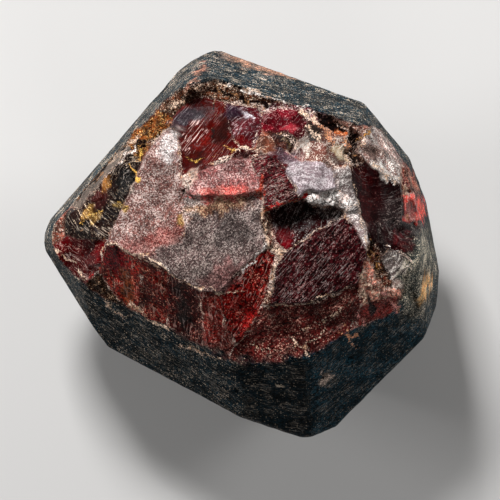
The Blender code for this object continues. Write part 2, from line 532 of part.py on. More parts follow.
def main():
    for obj in list(bpy.data.objects):
        bpy.data.objects.remove(obj)
    parts, cutters = collection(NAME), collection("cutters")
    crystal = place(crystal_blank(), NAME, parts)
    crystal.data.materials.append(garnet_material())

    cap_cutter(cutters)
    for name, outline in FRACTURES.items():
        chip_cutter(name, outline, cutters)
    for i, (face, up, thick) in enumerate(GROWTH_STEPS):
        step_cutter(f"step_{i}", face, up, thick, cutters)
    for i, ((x, y), radius) in enumerate(PITS):
        ball_cutter(f"pit_{i}", (x, y, skin_level(x, y) + radius * PIT_SINK), radius, cutters)
    for i, (compass, level, radius, bite) in enumerate(KNOCKS):
        ball_cutter(f"knock_{i}", knock_middle(compass, level, radius, bite), radius, cutters)
    chips = crystal.modifiers.new("chips", "BOOLEAN")
    chips.operation = "DIFFERENCE"
    chips.solver = "EXACT"
    chips.operand_type = "COLLECTION"
    chips.collection = cutters


main()
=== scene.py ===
import math

import bpy
import numpy as np
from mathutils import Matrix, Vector, noise


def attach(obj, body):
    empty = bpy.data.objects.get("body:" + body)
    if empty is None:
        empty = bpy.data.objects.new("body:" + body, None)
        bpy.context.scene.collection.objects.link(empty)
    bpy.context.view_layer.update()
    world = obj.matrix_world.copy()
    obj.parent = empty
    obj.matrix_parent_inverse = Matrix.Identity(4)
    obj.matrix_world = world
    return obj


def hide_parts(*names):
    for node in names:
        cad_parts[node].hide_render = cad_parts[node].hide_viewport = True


# A worn dodecahedral garnet crystal, 20 mm across, with its upper face broken open.
# It lies on the face opposite the break. Sizes and places below are in millimetres,
# and x, y are seen from above, from the middle of the rest face. Colours are hex codes.

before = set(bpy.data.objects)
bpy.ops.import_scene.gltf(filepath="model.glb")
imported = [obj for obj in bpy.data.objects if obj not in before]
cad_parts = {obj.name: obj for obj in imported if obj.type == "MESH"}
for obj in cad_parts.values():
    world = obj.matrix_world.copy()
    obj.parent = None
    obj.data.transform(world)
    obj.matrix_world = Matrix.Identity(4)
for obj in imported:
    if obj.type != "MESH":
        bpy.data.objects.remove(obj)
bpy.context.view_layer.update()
mm = 0.001
print("frame loaded")

crystalShape = {
    "node": "garnet_crystal",
    "cell": 0.178,  # size of the mesh's cells on the skin, halved on the break
    "lowestBreak": 11.0,  # the break never comes lower than this
    "breakMargin": 0.35,  # how far past the break the small cells go
    "restLayer": 0.02,  # what lies lower than this stays on the floor
    "seen": 0.02,  # a surface with less share than this is left out
}

# the break's outline, its worn foot towards -Y, where it fades into the skin, and its edges: where a
# share starts and is full, in mm inside an outline
breakShape = {
    "foot": (4.6, 6.0),
    "footWander": 0.5,
    "footInset": 0.25,
    "footFade": 6,
    "skinEdge": (-0.05, 0.08),
    "sideEdge": 0.3,
    "facetEdge": (-0.06, 0.05),
    "patchEdge": (0.55, 1.1),  # in shares of the patch's half size
}

# how far noise moves the edge of each kind of mark
wander = {"facet": 0.1, "patch": 0.35, "crumb": 0.12, "seam": 0.2}

# how each kind of surface is shaped, in mm: its lumps and its grit (height, size), its striations
# (height) and its chips (tilt, size)
surfaceKinds = {
    "granular": {"lump": (0.03, 0.5), "grit": (0.03, 0.22), "line": 0.02, "chip": (0.2, 0.6)},
    "striated": {"lump": (0.03, 0.9), "grit": (0.014, 0.25), "line": 0.03, "chip": (0.2, 1.0)},
    "glassy": {"lump": (0.03, 1.3), "grit": (0.006, 0.3), "line": 0.012, "chip": (0.35, 0.95)},
    "crumbly": {"lump": (0.06, 0.42), "grit": (0.05, 0.2), "line": 0.0, "chip": (0.5, 0.5)},
    "smooth": {"lump": (0.025, 1.5), "grit": (0.006, 0.3), "line": 0.012, "chip": (0.2, 1.2)},
    "skin": {"lump": (0.02, 1.1), "grit": (0.012, 0.4), "line": 0.01, "chip": (0, 1.0)},
}

# the skin: how wide its streaks are and how many times longer, how much grain it has at least and
# where it is streaked, and how sharply one face's look gives way to the next one's
skinFinish = {"kind": "skin", "body": "0e222a", "grain": "d8c4ae", "rough": 0.45, "hatch": 0.3,
              "width": 0.085, "length": 8, "grainLeast": 0.04, "grainStreaked": 0.2, "sharp": 12}
# the crystal faces: the direction each one looks in (degrees), how pale it is painted as painted light
# (upper and right faces paler, the lower ones darker), and how strongly it is streaked
skinFaces = [(74, 1.0, 0.9), (126, 0.9, 1.0), (139.5, 0.85, 1.0), (213.5, 0.45, 0.8), (234.5, 0.42, 0.9),
             (261, 0.05, 0.05), (312, 0.75, 0.15), (353, 0.95, 0.5), (13.5, 1.0, 0.5), (33.5, 1.0, 0.8)]

# where the skin ends, all the way round: x, y of each corner in turn, as in every outline below
breakRim = [
    -9.1, 1.55, -8.55, 1.9, -8.05, 2.55, -7.65, 3.1, -6.85, 3.9, -6.35, 4.3, -6.15, 4.7, -5.7, 5.1,
    -5.4, 5.65, -5.05, 5.8, -4.55, 6.25, -4.2, 6.7, -3.8, 7.1, -3.45, 7.4, -3.05, 7.7, -2.55, 7.85, -1.8, 8,
    -1.2, 8.1, -0.05, 7.75, 0.85, 7.35, 1.7, 7.05, 3.45, 6.7, 4.45, 6.3, 5.2, 6.05, 5.95, 5.9, 6.55, 5.85,
    6.95, 5.65, 7.8, 4.8, 8.15, 4.35, 8.5, 3.75, 8.7, 3.2, 9.2, 2.2, 9.3, 1.65, 9.05, 1.15, 8.9, 0.45,
    8.9, -0.3, 8.55, -0.9, 8.2, -1.4, 8.05, -1.9, 8.2, -2.35, 7.8, -3.05, 7.25, -3.65, 6.55, -3.9,
    5.75, -4.1, 4.25, -5.05, 2.95, -5.7, 1.05, -5.95, -0.65, -5.85, -1.75, -5.2, -2.75, -4.75, -3.65, -4.1,
    -4.55, -3.75, -5.1, -3.45, -5.75, -3.1, -6.25, -2.95, -7.05, -2.6, -7.75, -2, -8.4, -1.5, -9.05, -0.7,
    -9.45, -0.15, -9.7, 0.3, -9.6, 1,
]


def facet(kind, body, grain, share, rough, outline, **finish):
    look = {"kind": kind, "body": body, "grain": grain, "share": share, "rough": rough}
    return {**look, "outline": outline, **finish}


def patch(at, size, turn, body, grain, **finish):
    return {"at": at, "size": size, "turn": turn, "body": body, "grain": grain, **finish}


plainBreak = facet("granular", "502d28", "a58276", 0.5, 0.4, breakRim)

# each facet of the break, in the order that they are painted: kind of surface, body and grain colour,
# share of grain, roughness and outline; then the strength of its striations (lines), the way that they
# run (degrees) or the middle of their arcs, their width and how many times longer they are, pale
# scratches along them that on glass are also painted highlights (hatch) and small tilted chips; edge=0
# leaves the outline without crumbs
facets = {
    # painted sheen: the pale colours of the pale and grey plates stand in for light scattered by their fine
    # grain
    "palePlate": facet("granular", "68423c", "ccb6ae", 0.55, 0.42, [
        -3.8, 5.75, -3.45, 5.85, -3.15, 5.55, -3.05, 4.6, -3, 3.3, -2.7, 2.95, -2.55, 2.4, -1.9, 2.2,
        -2.8, 0.45, -4.95, -0.7, -6.7, 0.05, -5.95, 1.8, -5.3, 3.1, -4.9, 4.2, -4.45, 4.95], hatch=0.15),
    "greyPlate": facet("granular", "503e3c", "b4a29a", 0.5, 0.42, [
        -2.2, 2.2, -1.85, 2.3, -0.3, 2.3, 1.05, 2.55, 1.05, 1.1, 1.35, -0.15, 0.45, -0.9, -0.45, -1.8,
        -0.95, -2.45, -2.05, -2.4, -3.65, -1.35, -4.95, -0.7, -2.8, 0.45], lines=0.4, runs=50, width=0.05,
        hatch=0.2),
    "rosePlate": facet("granular", "744240", "d6b0aa", 0.5, 0.4, [
        -2.85, 3.35, -1.95, 3.7, -0.45, 4.2, 0.45, 4.3, 1.05, 2.6, -0.3, 2.35, -1.9, 2.1, -2.6, 2.35],
        hatch=0.15),
    "maroonPlate": facet("striated", "460e14", "b49288", 0.34, 0.3, [
        0.45, 4.3, 1.05, 4.45, 1.7, 4.35, 2.45, 3.2, 2.95, 2.3, 2.2, 1.9, 1.2, 1.6, 1.05, 2.6], lines=0.6,
        runs=25, width=0.06, length=8, hatch=0.8, chips=0.15),
    # painted sheen: the lilac plate's pale lavender stands in for the sheen on its smooth face
    "lilacPlate": facet("smooth", "8c7a7e", "dcd0d2", 0.6, 0.26, [
        1.15, 4.55, 2.1, 4.5, 2.95, 4.2, 3.95, 4.05, 4.65, 3.6, 4.75, 2.7, 3.95, 2.5, 3.35, 2.6, 2.95, 2.3,
        2.45, 3.2, 1.7, 4.35], lines=0.3, arcs=(3.2, 2), width=0.16, length=10, hatch=0.5),
    # painted light: the white shelf is painted extra bright where the lilac plate shades it
    "whiteShelf": facet("crumbly", "b09890", "fffaf5", 0.7, 0.45, [
        3.35, 2.6, 3.95, 2.5, 4.75, 2.7, 5.55, 2.2, 5.25, 1.55, 4.45, 1.9, 3.55, 1.9, 2.95, 2.3], chips=0.9),
    "blackHollow": facet("glassy", "280809", "d2c4c0", 0.2, 0.1, [
        1.2, 1.55, 2.3, 1.95, 2.95, 2.3, 3.55, 1.9, 4.7, 1.85, 5.15, 1.45, 4.5, 1.05, 3.5, 0.5, 2.9, 0.1,
        2.2, -0.4, 1.65, 0.05], lines=0.5, runs=60, width=0.1, length=8, hatch=0.4, chips=0.9),
    "stripedPlate": facet("striated", "34080c", "9e7a76", 0.24, 0.36, [
        2.95, 0.15, 4.45, 1.05, 5.1, 1.4, 5.75, 0.7, 6.25, -0.4, 6.25, -1.1, 5.75, -2, 4.95, -2.35,
        3.85, -2.85, 2.95, -3, 1.25, -3, 1.45, -2.3, 1.65, -1.3, 2.15, -0.4], lines=0.7, runs=50, width=0.08,
        length=8, hatch=0.7, chips=0.15),
    "bloodPlate": facet("striated", "5c0a09", "dc8c78", 0.24, 0.32, [
        1.35, -0.15, 1.75, -0.6, 1.6, -1.4, 1.35, -2.3, 1.05, -3.05, 0.55, -4.05, -0.25, -5.05, -0.75, -4.3,
        -0.95, -2.45, -0.45, -1.8, 0.45, -0.9], lines=0.5, runs=62, width=0.14, hatch=0.4,
        chips=0.35),
    "emberFacetA": facet("striated", "70120a", "f0aa8c", 0.22, 0.34, [
        -6.7, 0.05, -4.95, -0.7, -5, -2.4, -5.1, -3.45, -5.75, -3.1, -6.45, -2.3, -7.05, -1.4, -6.9, -0.55],
        lines=0.4, runs=96, width=0.16, length=4, hatch=0.4, chips=0.35),
    "emberFacetB": facet("striated", "540e08", "f0aa8c", 0.2, 0.34, [
        -4.95, -0.7, -3.65, -1.35, -3.65, -4.1, -4.55, -3.75, -5.1, -3.45, -5, -2.4], lines=0.4, runs=94,
        width=0.16, length=4, hatch=0.4, chips=0.35),
    "emberFacetC": facet("striated", "3c0a09", "dc9682", 0.22, 0.34, [
        -3.65, -1.35, -2.05, -2.4, -1.75, -5.15, -2.75, -4.7, -3.65, -4.05], lines=0.4, runs=88, width=0.16,
        length=4, hatch=0.4, chips=0.35),
    "emberFacetD": facet("striated", "681c18", "cc8c7c", 0.36, 0.36, [
        -2.05, -2.4, -0.95, -2.45, -0.75, -4.3, -0.25, -5.05, -0.65, -5.8, -1.75, -5.15], lines=0.4,
        runs=100, width=0.16, length=4, hatch=0.5, chips=0.35),
    "brownPlate": facet("granular", "4a1614", "d29c8a", 0.3, 0.38, [
        1.05, -3.05, 2.95, -3, 3.85, -2.85, 4.95, -2.35, 5.75, -2, 6.05, -2.8, 5.75, -4, 4.25, -5.05,
        2.95, -5.7, 1.05, -5.95, -0.65, -5.8, -0.25, -5.05, 0.55, -4.05], lines=0.3, runs=40, width=0.14,
        hatch=0.15),
    "paleRidge": facet("smooth", "70605e", "e2d8d2", 0.55, 0.3, [
        4.65, 3.8, 5.25, 4.05, 5.55, 2.95, 5.85, 1.6, 6.5, 0.1, 6.35, -0.8, 6.25, -0.4, 5.75, 0.7, 5.05, 1.5,
        5.55, 2.2, 4.75, 2.7], width=0.14, length=7, hatch=0.9, chips=0.8),
    "garnetWindow": facet("glassy", "1e0405", "6e4642", 0.2, 0.16, [
        5.35, 4, 5.95, 4.1, 6.55, 3.75, 7.15, 3.45, 7.85, 3.05, 8, 2.7, 8.05, 2.2, 8.05, 1.15, 7.2, 1.1,
        6.2, 1, 5.85, 1.7, 5.6, 2.7], lines=0.4, arcs=(6.6, 4.6), width=0.1, length=9, hatch=0.3, edge=0),
    "slateFacet": facet("glassy", "1a0809", "96847a", 0.15, 0.25, [
        6.2, 1, 7.2, 1.1, 8, 1.2, 9, 1.15, 8.9, 0.45, 8.9, -0.3, 8.55, -0.9, 7.85, -0.4, 7.35, -0.3,
        6.95, -0.5, 6.7, 0.1, 6.4, 0.05, 6.25, 0.6], lines=0.4, arcs=(8.6, 1.6), hatch=0.3, chips=0.6,
        edge=0),
    "whiteSlab": facet("granular", "76544c", "f4ece4", 0.5, 0.38, [
        6.2, 5.8, 6.55, 5.85, 6.95, 5.65, 7.8, 4.8, 8.15, 4.35, 8.05, 3.8, 8, 3.4, 7.9, 3, 7.15, 3.5,
        6.55, 3.8, 6.05, 4.2, 5.8, 4.6, 6.15, 5.2], hatch=0.3, chips=0.5),
    "eyeHollow": facet("glassy", "0d0302", "c4a08c", 0.2, 0.2, [
        5.25, 5.8, 5.8, 5.5, 5.85, 4.9, 5.75, 4.45, 5.3, 4.6], hatch=0.5, chips=0.9),
    "edgeStrip": facet("granular", "5e1610", "ecbaa0", 0.38, 0.35, [
        8.05, 3.8, 8.15, 4.35, 8.5, 3.75, 8.7, 3.2, 8.95, 2.7, 8.55, 2.55, 8.05, 2.25, 8, 2.7, 7.95, 3.4],
        hatch=0.3, chips=0.9),
    "redChip": facet("smooth", "e0463c", "fabeac", 0.45, 0.28, [
        8.05, 2.4, 8.55, 2.6, 8.95, 2.7, 9.2, 2.2, 9.3, 1.65, 9.05, 1.2, 8.05, 1.15], hatch=0.2, chips=0.5),
    "creamCrags": facet("glassy", "6a3c32", "fae8d8", 0.46, 0.3, [
        2.95, 5.1, 3.1, 6.35, 3.75, 6.2, 4.45, 5.4, 5.15, 5.3, 5.25, 4.6, 5.45, 4, 4.65, 3.7, 3.95, 4.05,
        2.95, 4.2], hatch=0.5, chips=1),
    # painted shade: the undercut inside the top rim, painted near black as well as shaded by its step
    "rimUndercut": facet("crumbly", "0e0504", "966050", 0.1, 0.35, [
        3.35, 6.65, 4.45, 6.25, 5.25, 5.8, 5.25, 5.2, 4.45, 5.35, 3.75, 6.15], chips=0.7),
    "crimsonFacets": facet("glassy", "560612", "eca0a0", 0.28, 0.2, [
        0.95, 6.6, 2.1, 6.8, 3.35, 6.55, 3.3, 6.2, 3.05, 4.95, 2.25, 5.3, 1.05, 5.55], hatch=0.3, chips=1),
    "darkSlot": facet("glassy", "280e0a", "aa7664", 0.3, 0.3, [
        1, 5.6, 2.3, 5.5, 2.85, 4.9, 2.35, 4.55, 1.65, 4.8], hatch=0.5, chips=0.9),
    "honeyChip": facet("glassy", "844632", "e6b094", 0.35, 0.32, [
        0.75, 5.55, 1.05, 5.65, 1.35, 5.35, 1.75, 4.7, 1.25, 4.5, 0.6, 4.6], hatch=0.3, chips=0.9),
    "secondBowl": facet("glassy", "420e14", "bea0a4", 0.25, 0.18, [
        -0.85, 7.15, 0.2, 7.1, 1.05, 6.8, 1.05, 5.55, 0.65, 4.65, -0.05, 4.7, -0.6, 5.8], lines=0.4,
        arcs=(0.9, 4.9), width=0.1, length=10, hatch=0.6, chips=0.5),
    "redShelf": facet("glassy", "2c0404", "965a50", 0.12, 0.25, [
        -2.65, 3.3, -2.3, 3.6, -1.75, 3.8, -0.45, 4.4, -0.05, 4.7, 0.65, 4.65, 1.25, 4.5, 0.45, 4.25,
        -0.45, 4.2, -1.95, 3.65], hatch=0.4, chips=0.8),
    "topCrumble": facet("crumbly", "462414", "e2c8b0", 0.38, 0.42, [
        -4.2, 6.65, -3.8, 7.1, -3.45, 7.4, -3.05, 7.7, -2.55, 7.85, -1.8, 8, -1.2, 8.1, -0.05, 7.75,
        0.85, 7.35, 1.7, 7.05, 1.05, 6.75, -0.85, 7.1, -1.8, 7.25, -2.85, 6.9, -3.45, 6.3], chips=0.7),
    "redSlope": facet("glassy", "4a0c09", "96706c", 0.08, 0.16, [
        -3.45, 6.3, -2.85, 6.9, -1.8, 7.25, -0.85, 7.1, -0.6, 5.8, -0.05, 4.7, -0.45, 4.35, -1.75, 3.75,
        -2.3, 3.55, -2.95, 3.3, -3.1, 4.7, -3.15, 5.55, -3.45, 5.95], lines=0.3, runs=52, width=0.09,
        length=22, hatch=0.45),
    "ochreBand": facet("crumbly", "602e0e", "ecbe7c", 0.38, 0.45, [
        -5.7, 5.1, -5.4, 5.65, -5.05, 5.8, -4.55, 6.25, -4.2, 6.7, -3.45, 6.3, -3.4, 5.9, -3.8, 5.7,
        -4.45, 4.9, -4.9, 4.15, -5.5, 4.7], chips=1),
    "paleLedge": facet("smooth", "463a32", "b09c8c", 0.42, 0.35, [
        -8.55, 1.9, -8.05, 2.55, -7.65, 3.1, -6.85, 3.9, -6.35, 4.3, -6.15, 4.7, -5.7, 5.1, -5.5, 4.7,
        -6, 4.05, -6.85, 3.2, -7.45, 2.5, -8.05, 1.7], chips=0.5),
    "leftHollow": facet("glassy", "190906", "e8ccb0", 0.14, 0.22, [
        -8.05, 1.7, -7.45, 2.5, -6.85, 3.2, -6, 4.05, -5.5, 4.7, -4.9, 4.15, -5.3, 3.1, -5.95, 1.8,
        -6.65, 0.2, -7.75, 0.2, -8.75, 0.4, -8.95, 1.1, -8.55, 1.8], lines=0.8, arcs=(-5.2, 3.2), length=9,
        hatch=0.4, chips=0.6),
    "leftTip": facet("crumbly", "a65642", "fae2d0", 0.5, 0.4, [
        -8.55, 1.9, -8.95, 1.1, -8.75, 0.35, -9.5, -0.15, -9.7, 0.3, -9.6, 1, -9.1, 1.55], chips=0.7),
    "leftToe": facet("glassy", "460406", "dcaa9c", 0.2, 0.22, [
        -9.5, -0.15, -8.75, 0.35, -7.75, 0.2, -6.65, 0.2, -6.9, -0.6, -7.05, -1.4, -7.75, -2, -8.4, -1.5,
        -9.05, -0.7], lines=0.4, runs=140, hatch=0.5, chips=0.6),
    "toeRim": facet("crumbly", "32180c", "cca888", 0.35, 0.45, [
        -7.05, -1.4, -6.45, -2.3, -5.7, -3.1, -6.25, -2.95, -7.05, -2.6, -7.75, -2], chips=0.7),
    "darkGash": facet("crumbly", "481c12", "ecc4a6", 0.42, 0.4, [
        6.25, -0.1, 6.5, 0.1, 6.75, 0.05, 7, -0.6, 7.2, -1.35, 7.5, -1.85, 7.6, -2.05, 7.45, -2.2,
        7.15, -2.15, 6.8, -1.75, 6.5, -1.1, 6.3, -0.7], chips=0.7),
    "pinkGash": facet("crumbly", "c87e6a", "fae2cc", 0.5, 0.42, [
        6.15, -0.9, 6.3, -0.7, 6.85, -1.8, 7.25, -2.25, 7.5, -2.1, 7.75, -2.2, 8.2, -2.35, 8, -2.7,
        7.35, -2.65, 6.75, -2.75, 6.1, -3, 5.8, -2.15], chips=0.7),
    "conchoidPatch": facet("glassy", "70625e", "faf0e6", 0.35, 0.22, [
        6.95, -0.6, 7.35, -0.35, 7.85, -0.4, 8.55, -0.9, 8.25, -1.3, 7.95, -1.75, 7.5, -1.85, 7.15, -1.35],
        lines=0.9, arcs=(6.9, -0.4), length=10, hatch=0.7, chips=0.15),
    "brickFacet": facet("granular", "68221e", "c86e62", 0.3, 0.42, [
        6.1, -3, 6.75, -2.75, 7.35, -2.65, 8, -2.7, 7.8, -3.05, 7.25, -3.65, 6.55, -3.9, 5.75, -4.1,
        5.45, -4.2], hatch=0.3, chips=0.5),
    "flankCrack": facet("crumbly", "321610", "c8b09c", 0.35, 0.5, [
        8.3, -2.2, 8.5, -2.25, 8.7, -2.8, 8.8, -3.25, 8.6, -3.25, 8.4, -2.7], chips=0.7),
    "creamVein": facet("crumbly", "542c22", "ecceb6", 0.5, 0.45, [
        1, 1.75, 1.35, 1.75, 1.75, 0.1, 2.25, -0.35, 1.8, -0.9, 1.6, -2.3, 1.35, -3.15, 0.95, -3.15,
        1.3, -2.3, 1.55, -1.4, 1.7, -0.65, 1.3, -0.15, 1, 1.1], chips=0.7),
    "rimCrumbs": facet("crumbly", "6c463c", "e6cebe", 0.48, 0.42, [
        4.35, 6.35, 5.2, 6.05, 5.95, 5.9, 6.6, 5.85, 6.25, 5.65, 6.15, 5.1, 5.8, 4.85, 5.75, 5.4, 5.25, 5.75,
        4.85, 5.95], chips=0.7),
    "topSlot": facet("crumbly", "6e242a", "f6e6e0", 0.5, 0.4, [
        0.95, 6.85, 1.7, 7.05, 2.45, 6.9, 3.5, 6.7, 3.85, 6.1, 3.2, 6.15, 3.25, 6.55, 2.1, 6.75, 1.05, 6.55],
        chips=0.7),
    "cragFoot": facet("glassy", "784240", "f0d6cc", 0.45, 0.3, [
        2.15, 5.5, 3.1, 5.2, 3.1, 4.05, 2.1, 4.45, 1.35, 4.45, 1.75, 4.7, 2.4, 4.55, 2.65, 4.9], hatch=0.6,
        chips=1),
    "greySill": facet("smooth", "a0867c", "faf0e4", 0.5, 0.35, [
        7.5, -1.85, 7.95, -1.7, 8.25, -1.3, 8.1, -1.9, 8.2, -2.35, 7.75, -2.2, 7.45, -2.15]),
    "windowSill": facet("crumbly", "2e1610", "ceac96", 0.35, 0.4, [
        5.2, 4.6, 5.75, 4.5, 6.25, 4.05, 6, 4, 5.3, 3.85], chips=0.7),
}

# patches inside or across facets, in order: middle, half width and half height, turn (degrees), body
# and grain colour, and what else changes; down is the lowest height that the patch reaches
softPatches = [
    # red glow along the foot of the rose plate, and the cream corner beside it
    patch((-0.9, 2.42), (1.9, 0.42), 5, "ac4a44", "f0a498"),
    patch((1, 2.9), (0.14, 0.7), 0, "aa3222", "e68264"),
    patch((-2.5, 3.3), (0.3, 0.6), -30, "96786c", "f0e2d4"),
    # ochre stain and mottled skin on the right
    patch((8.8, -1.6), (1.1, 2.8), -8, "2e3230", "ccc0aa", share=0.48, down=3),
    patch((9.15, -2.3), (0.22, 1.05), -18, "a06e3e", "ecc68c", share=0.5, down=3),
    # pink streaks along the top of the skin, mottled pink at its foot, and single blots on it
    patch((0.9, 8.95), (2.3, 0.3), -17, "68544a", "e4a482", share=0.38, down=3),
    patch((-2.3, 8.3), (0.13, 1.1), -34, "825444", "e8b098", share=0.35, down=3),
    patch((7.2, -7.7), (1.3, 0.7), 42, "422a2a", "a0766e", share=0.24, down=3),
    patch((4.2, -6.7), (0.35, 0.28), 30, "6e6058", "c8b4a6", share=0.5, down=3),
    patch((1.9, -7.1), (0.13, 0.11), 0, "e6ceb4", "f0dcc8", share=1, down=3),
    # painted highlight as the white head of the pale plate, its grey shoulder and the blushes low on it
    patch((-3.5, 4.9), (0.6, 1.2), -20, "968682", "f2ecea"),
    patch((-2.3, 1.8), (0.7, 0.8), 0, "5c4e4a", "c8bab2"),
    patch((-3.9, 0.4), (1.4, 0.6), 20, "5c2a26", "b27e76"),
    patch((-5.2, -0.2), (1, 0.45), -25, "623430", "bc9088"),
    # brown spot and tan strip above the grey plate, its cool middle and rosy foot
    patch((-2.95, 1.1), (0.3, 0.4), 0, "54381e", "aa8654"),
    patch((-1.2, 1.85), (1.9, 0.4), 8, "704a3a", "ceac8a"),
    patch((-0.2, 0.7), (1.4, 1), 30, "443836", "a0918b"),
    patch((-0.9, -1.6), (1.4, 0.7), 35, "64403e", "b28882"),
    # painted reflection as a lilac bloom, painted red glow as the deepest red, and the dark edges of the
    # bowl, the left one with pale streaks of painted reflection
    patch((-2.7, 6.3), (1.1, 0.5), 24, "281e24", "aa969c", share=0.12),
    patch((-1.9, 5.5), (0.6, 0.9), -38, "540d09", "963c36", hatch=0.15),
    patch((-0.9, 5.7), (0.5, 1.1), -20, "34110e", "78423c", hatch=0.1),
    patch((-2.4, 4.3), (0.9, 0.5), 0, "340805", "823c32"),
    patch((-2.45, 5.3), (0.55, 1.3), -38, "420e0c", "d8a096", hatch=1.6),
    # painted white highlight and purple side of the second bowl, and the purple corner of the lilac plate
    patch((2.3, 5.15), (0.55, 0.22), -15, "180c0a", "be965a", share=0.15),
    patch((2.2, 4.35), (0.75, 0.35), -15, "462832", "9a8088", share=0.35),
    # dark band along the right of the maroon plate, and the dark chip in the crags
    patch((2.1, 3.5), (0.2, 1.2), 28, "5a0810", "965054", share=0.15),
    patch((3.6, 5.55), (0.35, 0.45), -20, "302420", "aa9284", share=0.2),
    # painted highlight: the white glint in the second bowl, then its purple and red sides
    patch((0.25, 6.25), (0.4, 0.16), -50, "968c92", "faf6f8", share=0.6),
    patch((-0.4, 6.6), (0.5, 0.4), 0, "2c1624", "8c6e7c"),
    patch((0, 5), (0.7, 0.4), 0, "4a0608", "a0544e"),
    # white, yellow, orange and pink chips in the crags
    patch((3.1, 4.85), (0.45, 0.35), 0, "c8ac9c", "fff6ec", share=0.6),
    patch((4.9, 4.5), (0.35, 0.5), 10, "c4a27a", "fff0d6", share=0.6),
    patch((4.8, 5.45), (0.3, 0.35), 0, "b4582c", "f0b48c", share=0.4),
    patch((2.3, 5.65), (0.5, 0.18), -15, "a02834", "f09696", share=0.3),
    # the red chip and the edge strip run on a little way down the side
    patch((8.85, 1.75), (0.45, 0.65), -8, "d6382e", "f6b09c", share=0.4, down=7),
    patch((8.55, 3.2), (0.25, 0.95), 20, "782c20", "ecbea0", share=0.42, down=8),
    patch((8.6, 1.9), (0.16, 0.22), 0, "781012", "b44640", share=0.2),
    # sheen on the slab right of the window
    patch((7.1, 3.6), (1.1, 0.3), -28, "b0a49c", "fcf8f4"),
    patch((6.6, 4.6), (0.7, 0.5), 0, "604842", "bea092"),
    # corner hatched with pale streaks of painted highlight, glints and crimson floor of the black hollow
    patch((4.4, 1.5), (0.7, 0.3), -15, "2c2424", "c8beba", share=0.35, hatch=1.4),
    patch((3.1, 1.35), (0.7, 0.16), 10, "201c1e", "d2ccc8", share=0.4),
    patch((2.15, 0.35), (0.6, 0.5), 0, "600810", "a04646"),
    # glows in the blood plate
    patch((0.4, -3.8), (0.3, 1.2), -28, "700e0d", "ce645a"),
    patch((-0.3, -2.8), (0.7, 1.1), -30, "5c0806", "a05a50"),
    # red side of the garnet window, red spot on the slate facet
    patch((6.2, 2.3), (0.35, 1.4), 8, "2e0506", "6e3c38"),
    patch((7.5, 1.6), (0.8, 1), 0, "261a1a", "a08c86", share=0.3),
    patch((8, 0.1), (0.6, 0.6), 0, "3e080c", "965450"),
    # black glass and ochre stains in the left hollow
    patch((-5.75, 3.1), (0.5, 0.9), -20, "0c0908", "968678"),
    patch((-6.7, 2.9), (0.22, 0.6), -12, "784c22", "c8a064"),
    patch((-7.4, 1.4), (0.5, 0.4), 20, "6e4a1c", "e2be78", share=0.35),
    patch((-6, 1.9), (0.3, 0.3), 0, "6e501e", "e2be78", share=0.35),
    patch((-5, 5), (0.4, 0.35), 0, "180c08", "aa8c6e", share=0.15),
    patch((-7.1, 2.2), (0.6, 0.5), 0, "32100e", "96645a"),
    # red and orange in the first ember facet, black in the third
    patch((-6.3, -0.8), (1.1, 0.7), -30, "54080c", "be6e64", share=0.12, lines=0.1, hatch=0.1, rough=0.2),
    patch((-5.6, -2.2), (0.35, 1.3), 8, "682e16", "aa6e48"),
    patch((-2.9, -3.2), (0.4, 1.5), 8, "180a09", "82605a"),
    # dark gap between the brick patches
    patch((6.45, -3.2), (0.25, 0.6), 0, "181416", "6e5a56"),
]

edgeCrumbs = {"colour": "d6beb0", "width": 0.13, "amount": 0.72, "patchSize": 1.1, "patchFrom": (-0.35, 0.25)}

crumbColours = {"cream": "e2c4ac", "white": "f0e6e0", "peach": "da9874", "ochre": "c48c42",
                "yellow": "d6a854", "pink": "ce8c84", "scarlet": "b02828", "dark": "0e0605"}

# seams swell and thin out along their way: noise (strength, size), and the cover that it gives
seamSwell = {"fine": (0.7, 0.45), "coarse": (0.6, 1.3), "least": 0.3, "cover": (0.55, 0.5, 0.4, 1.15),
             "proud": (0.6, 0.6, 0.2)}
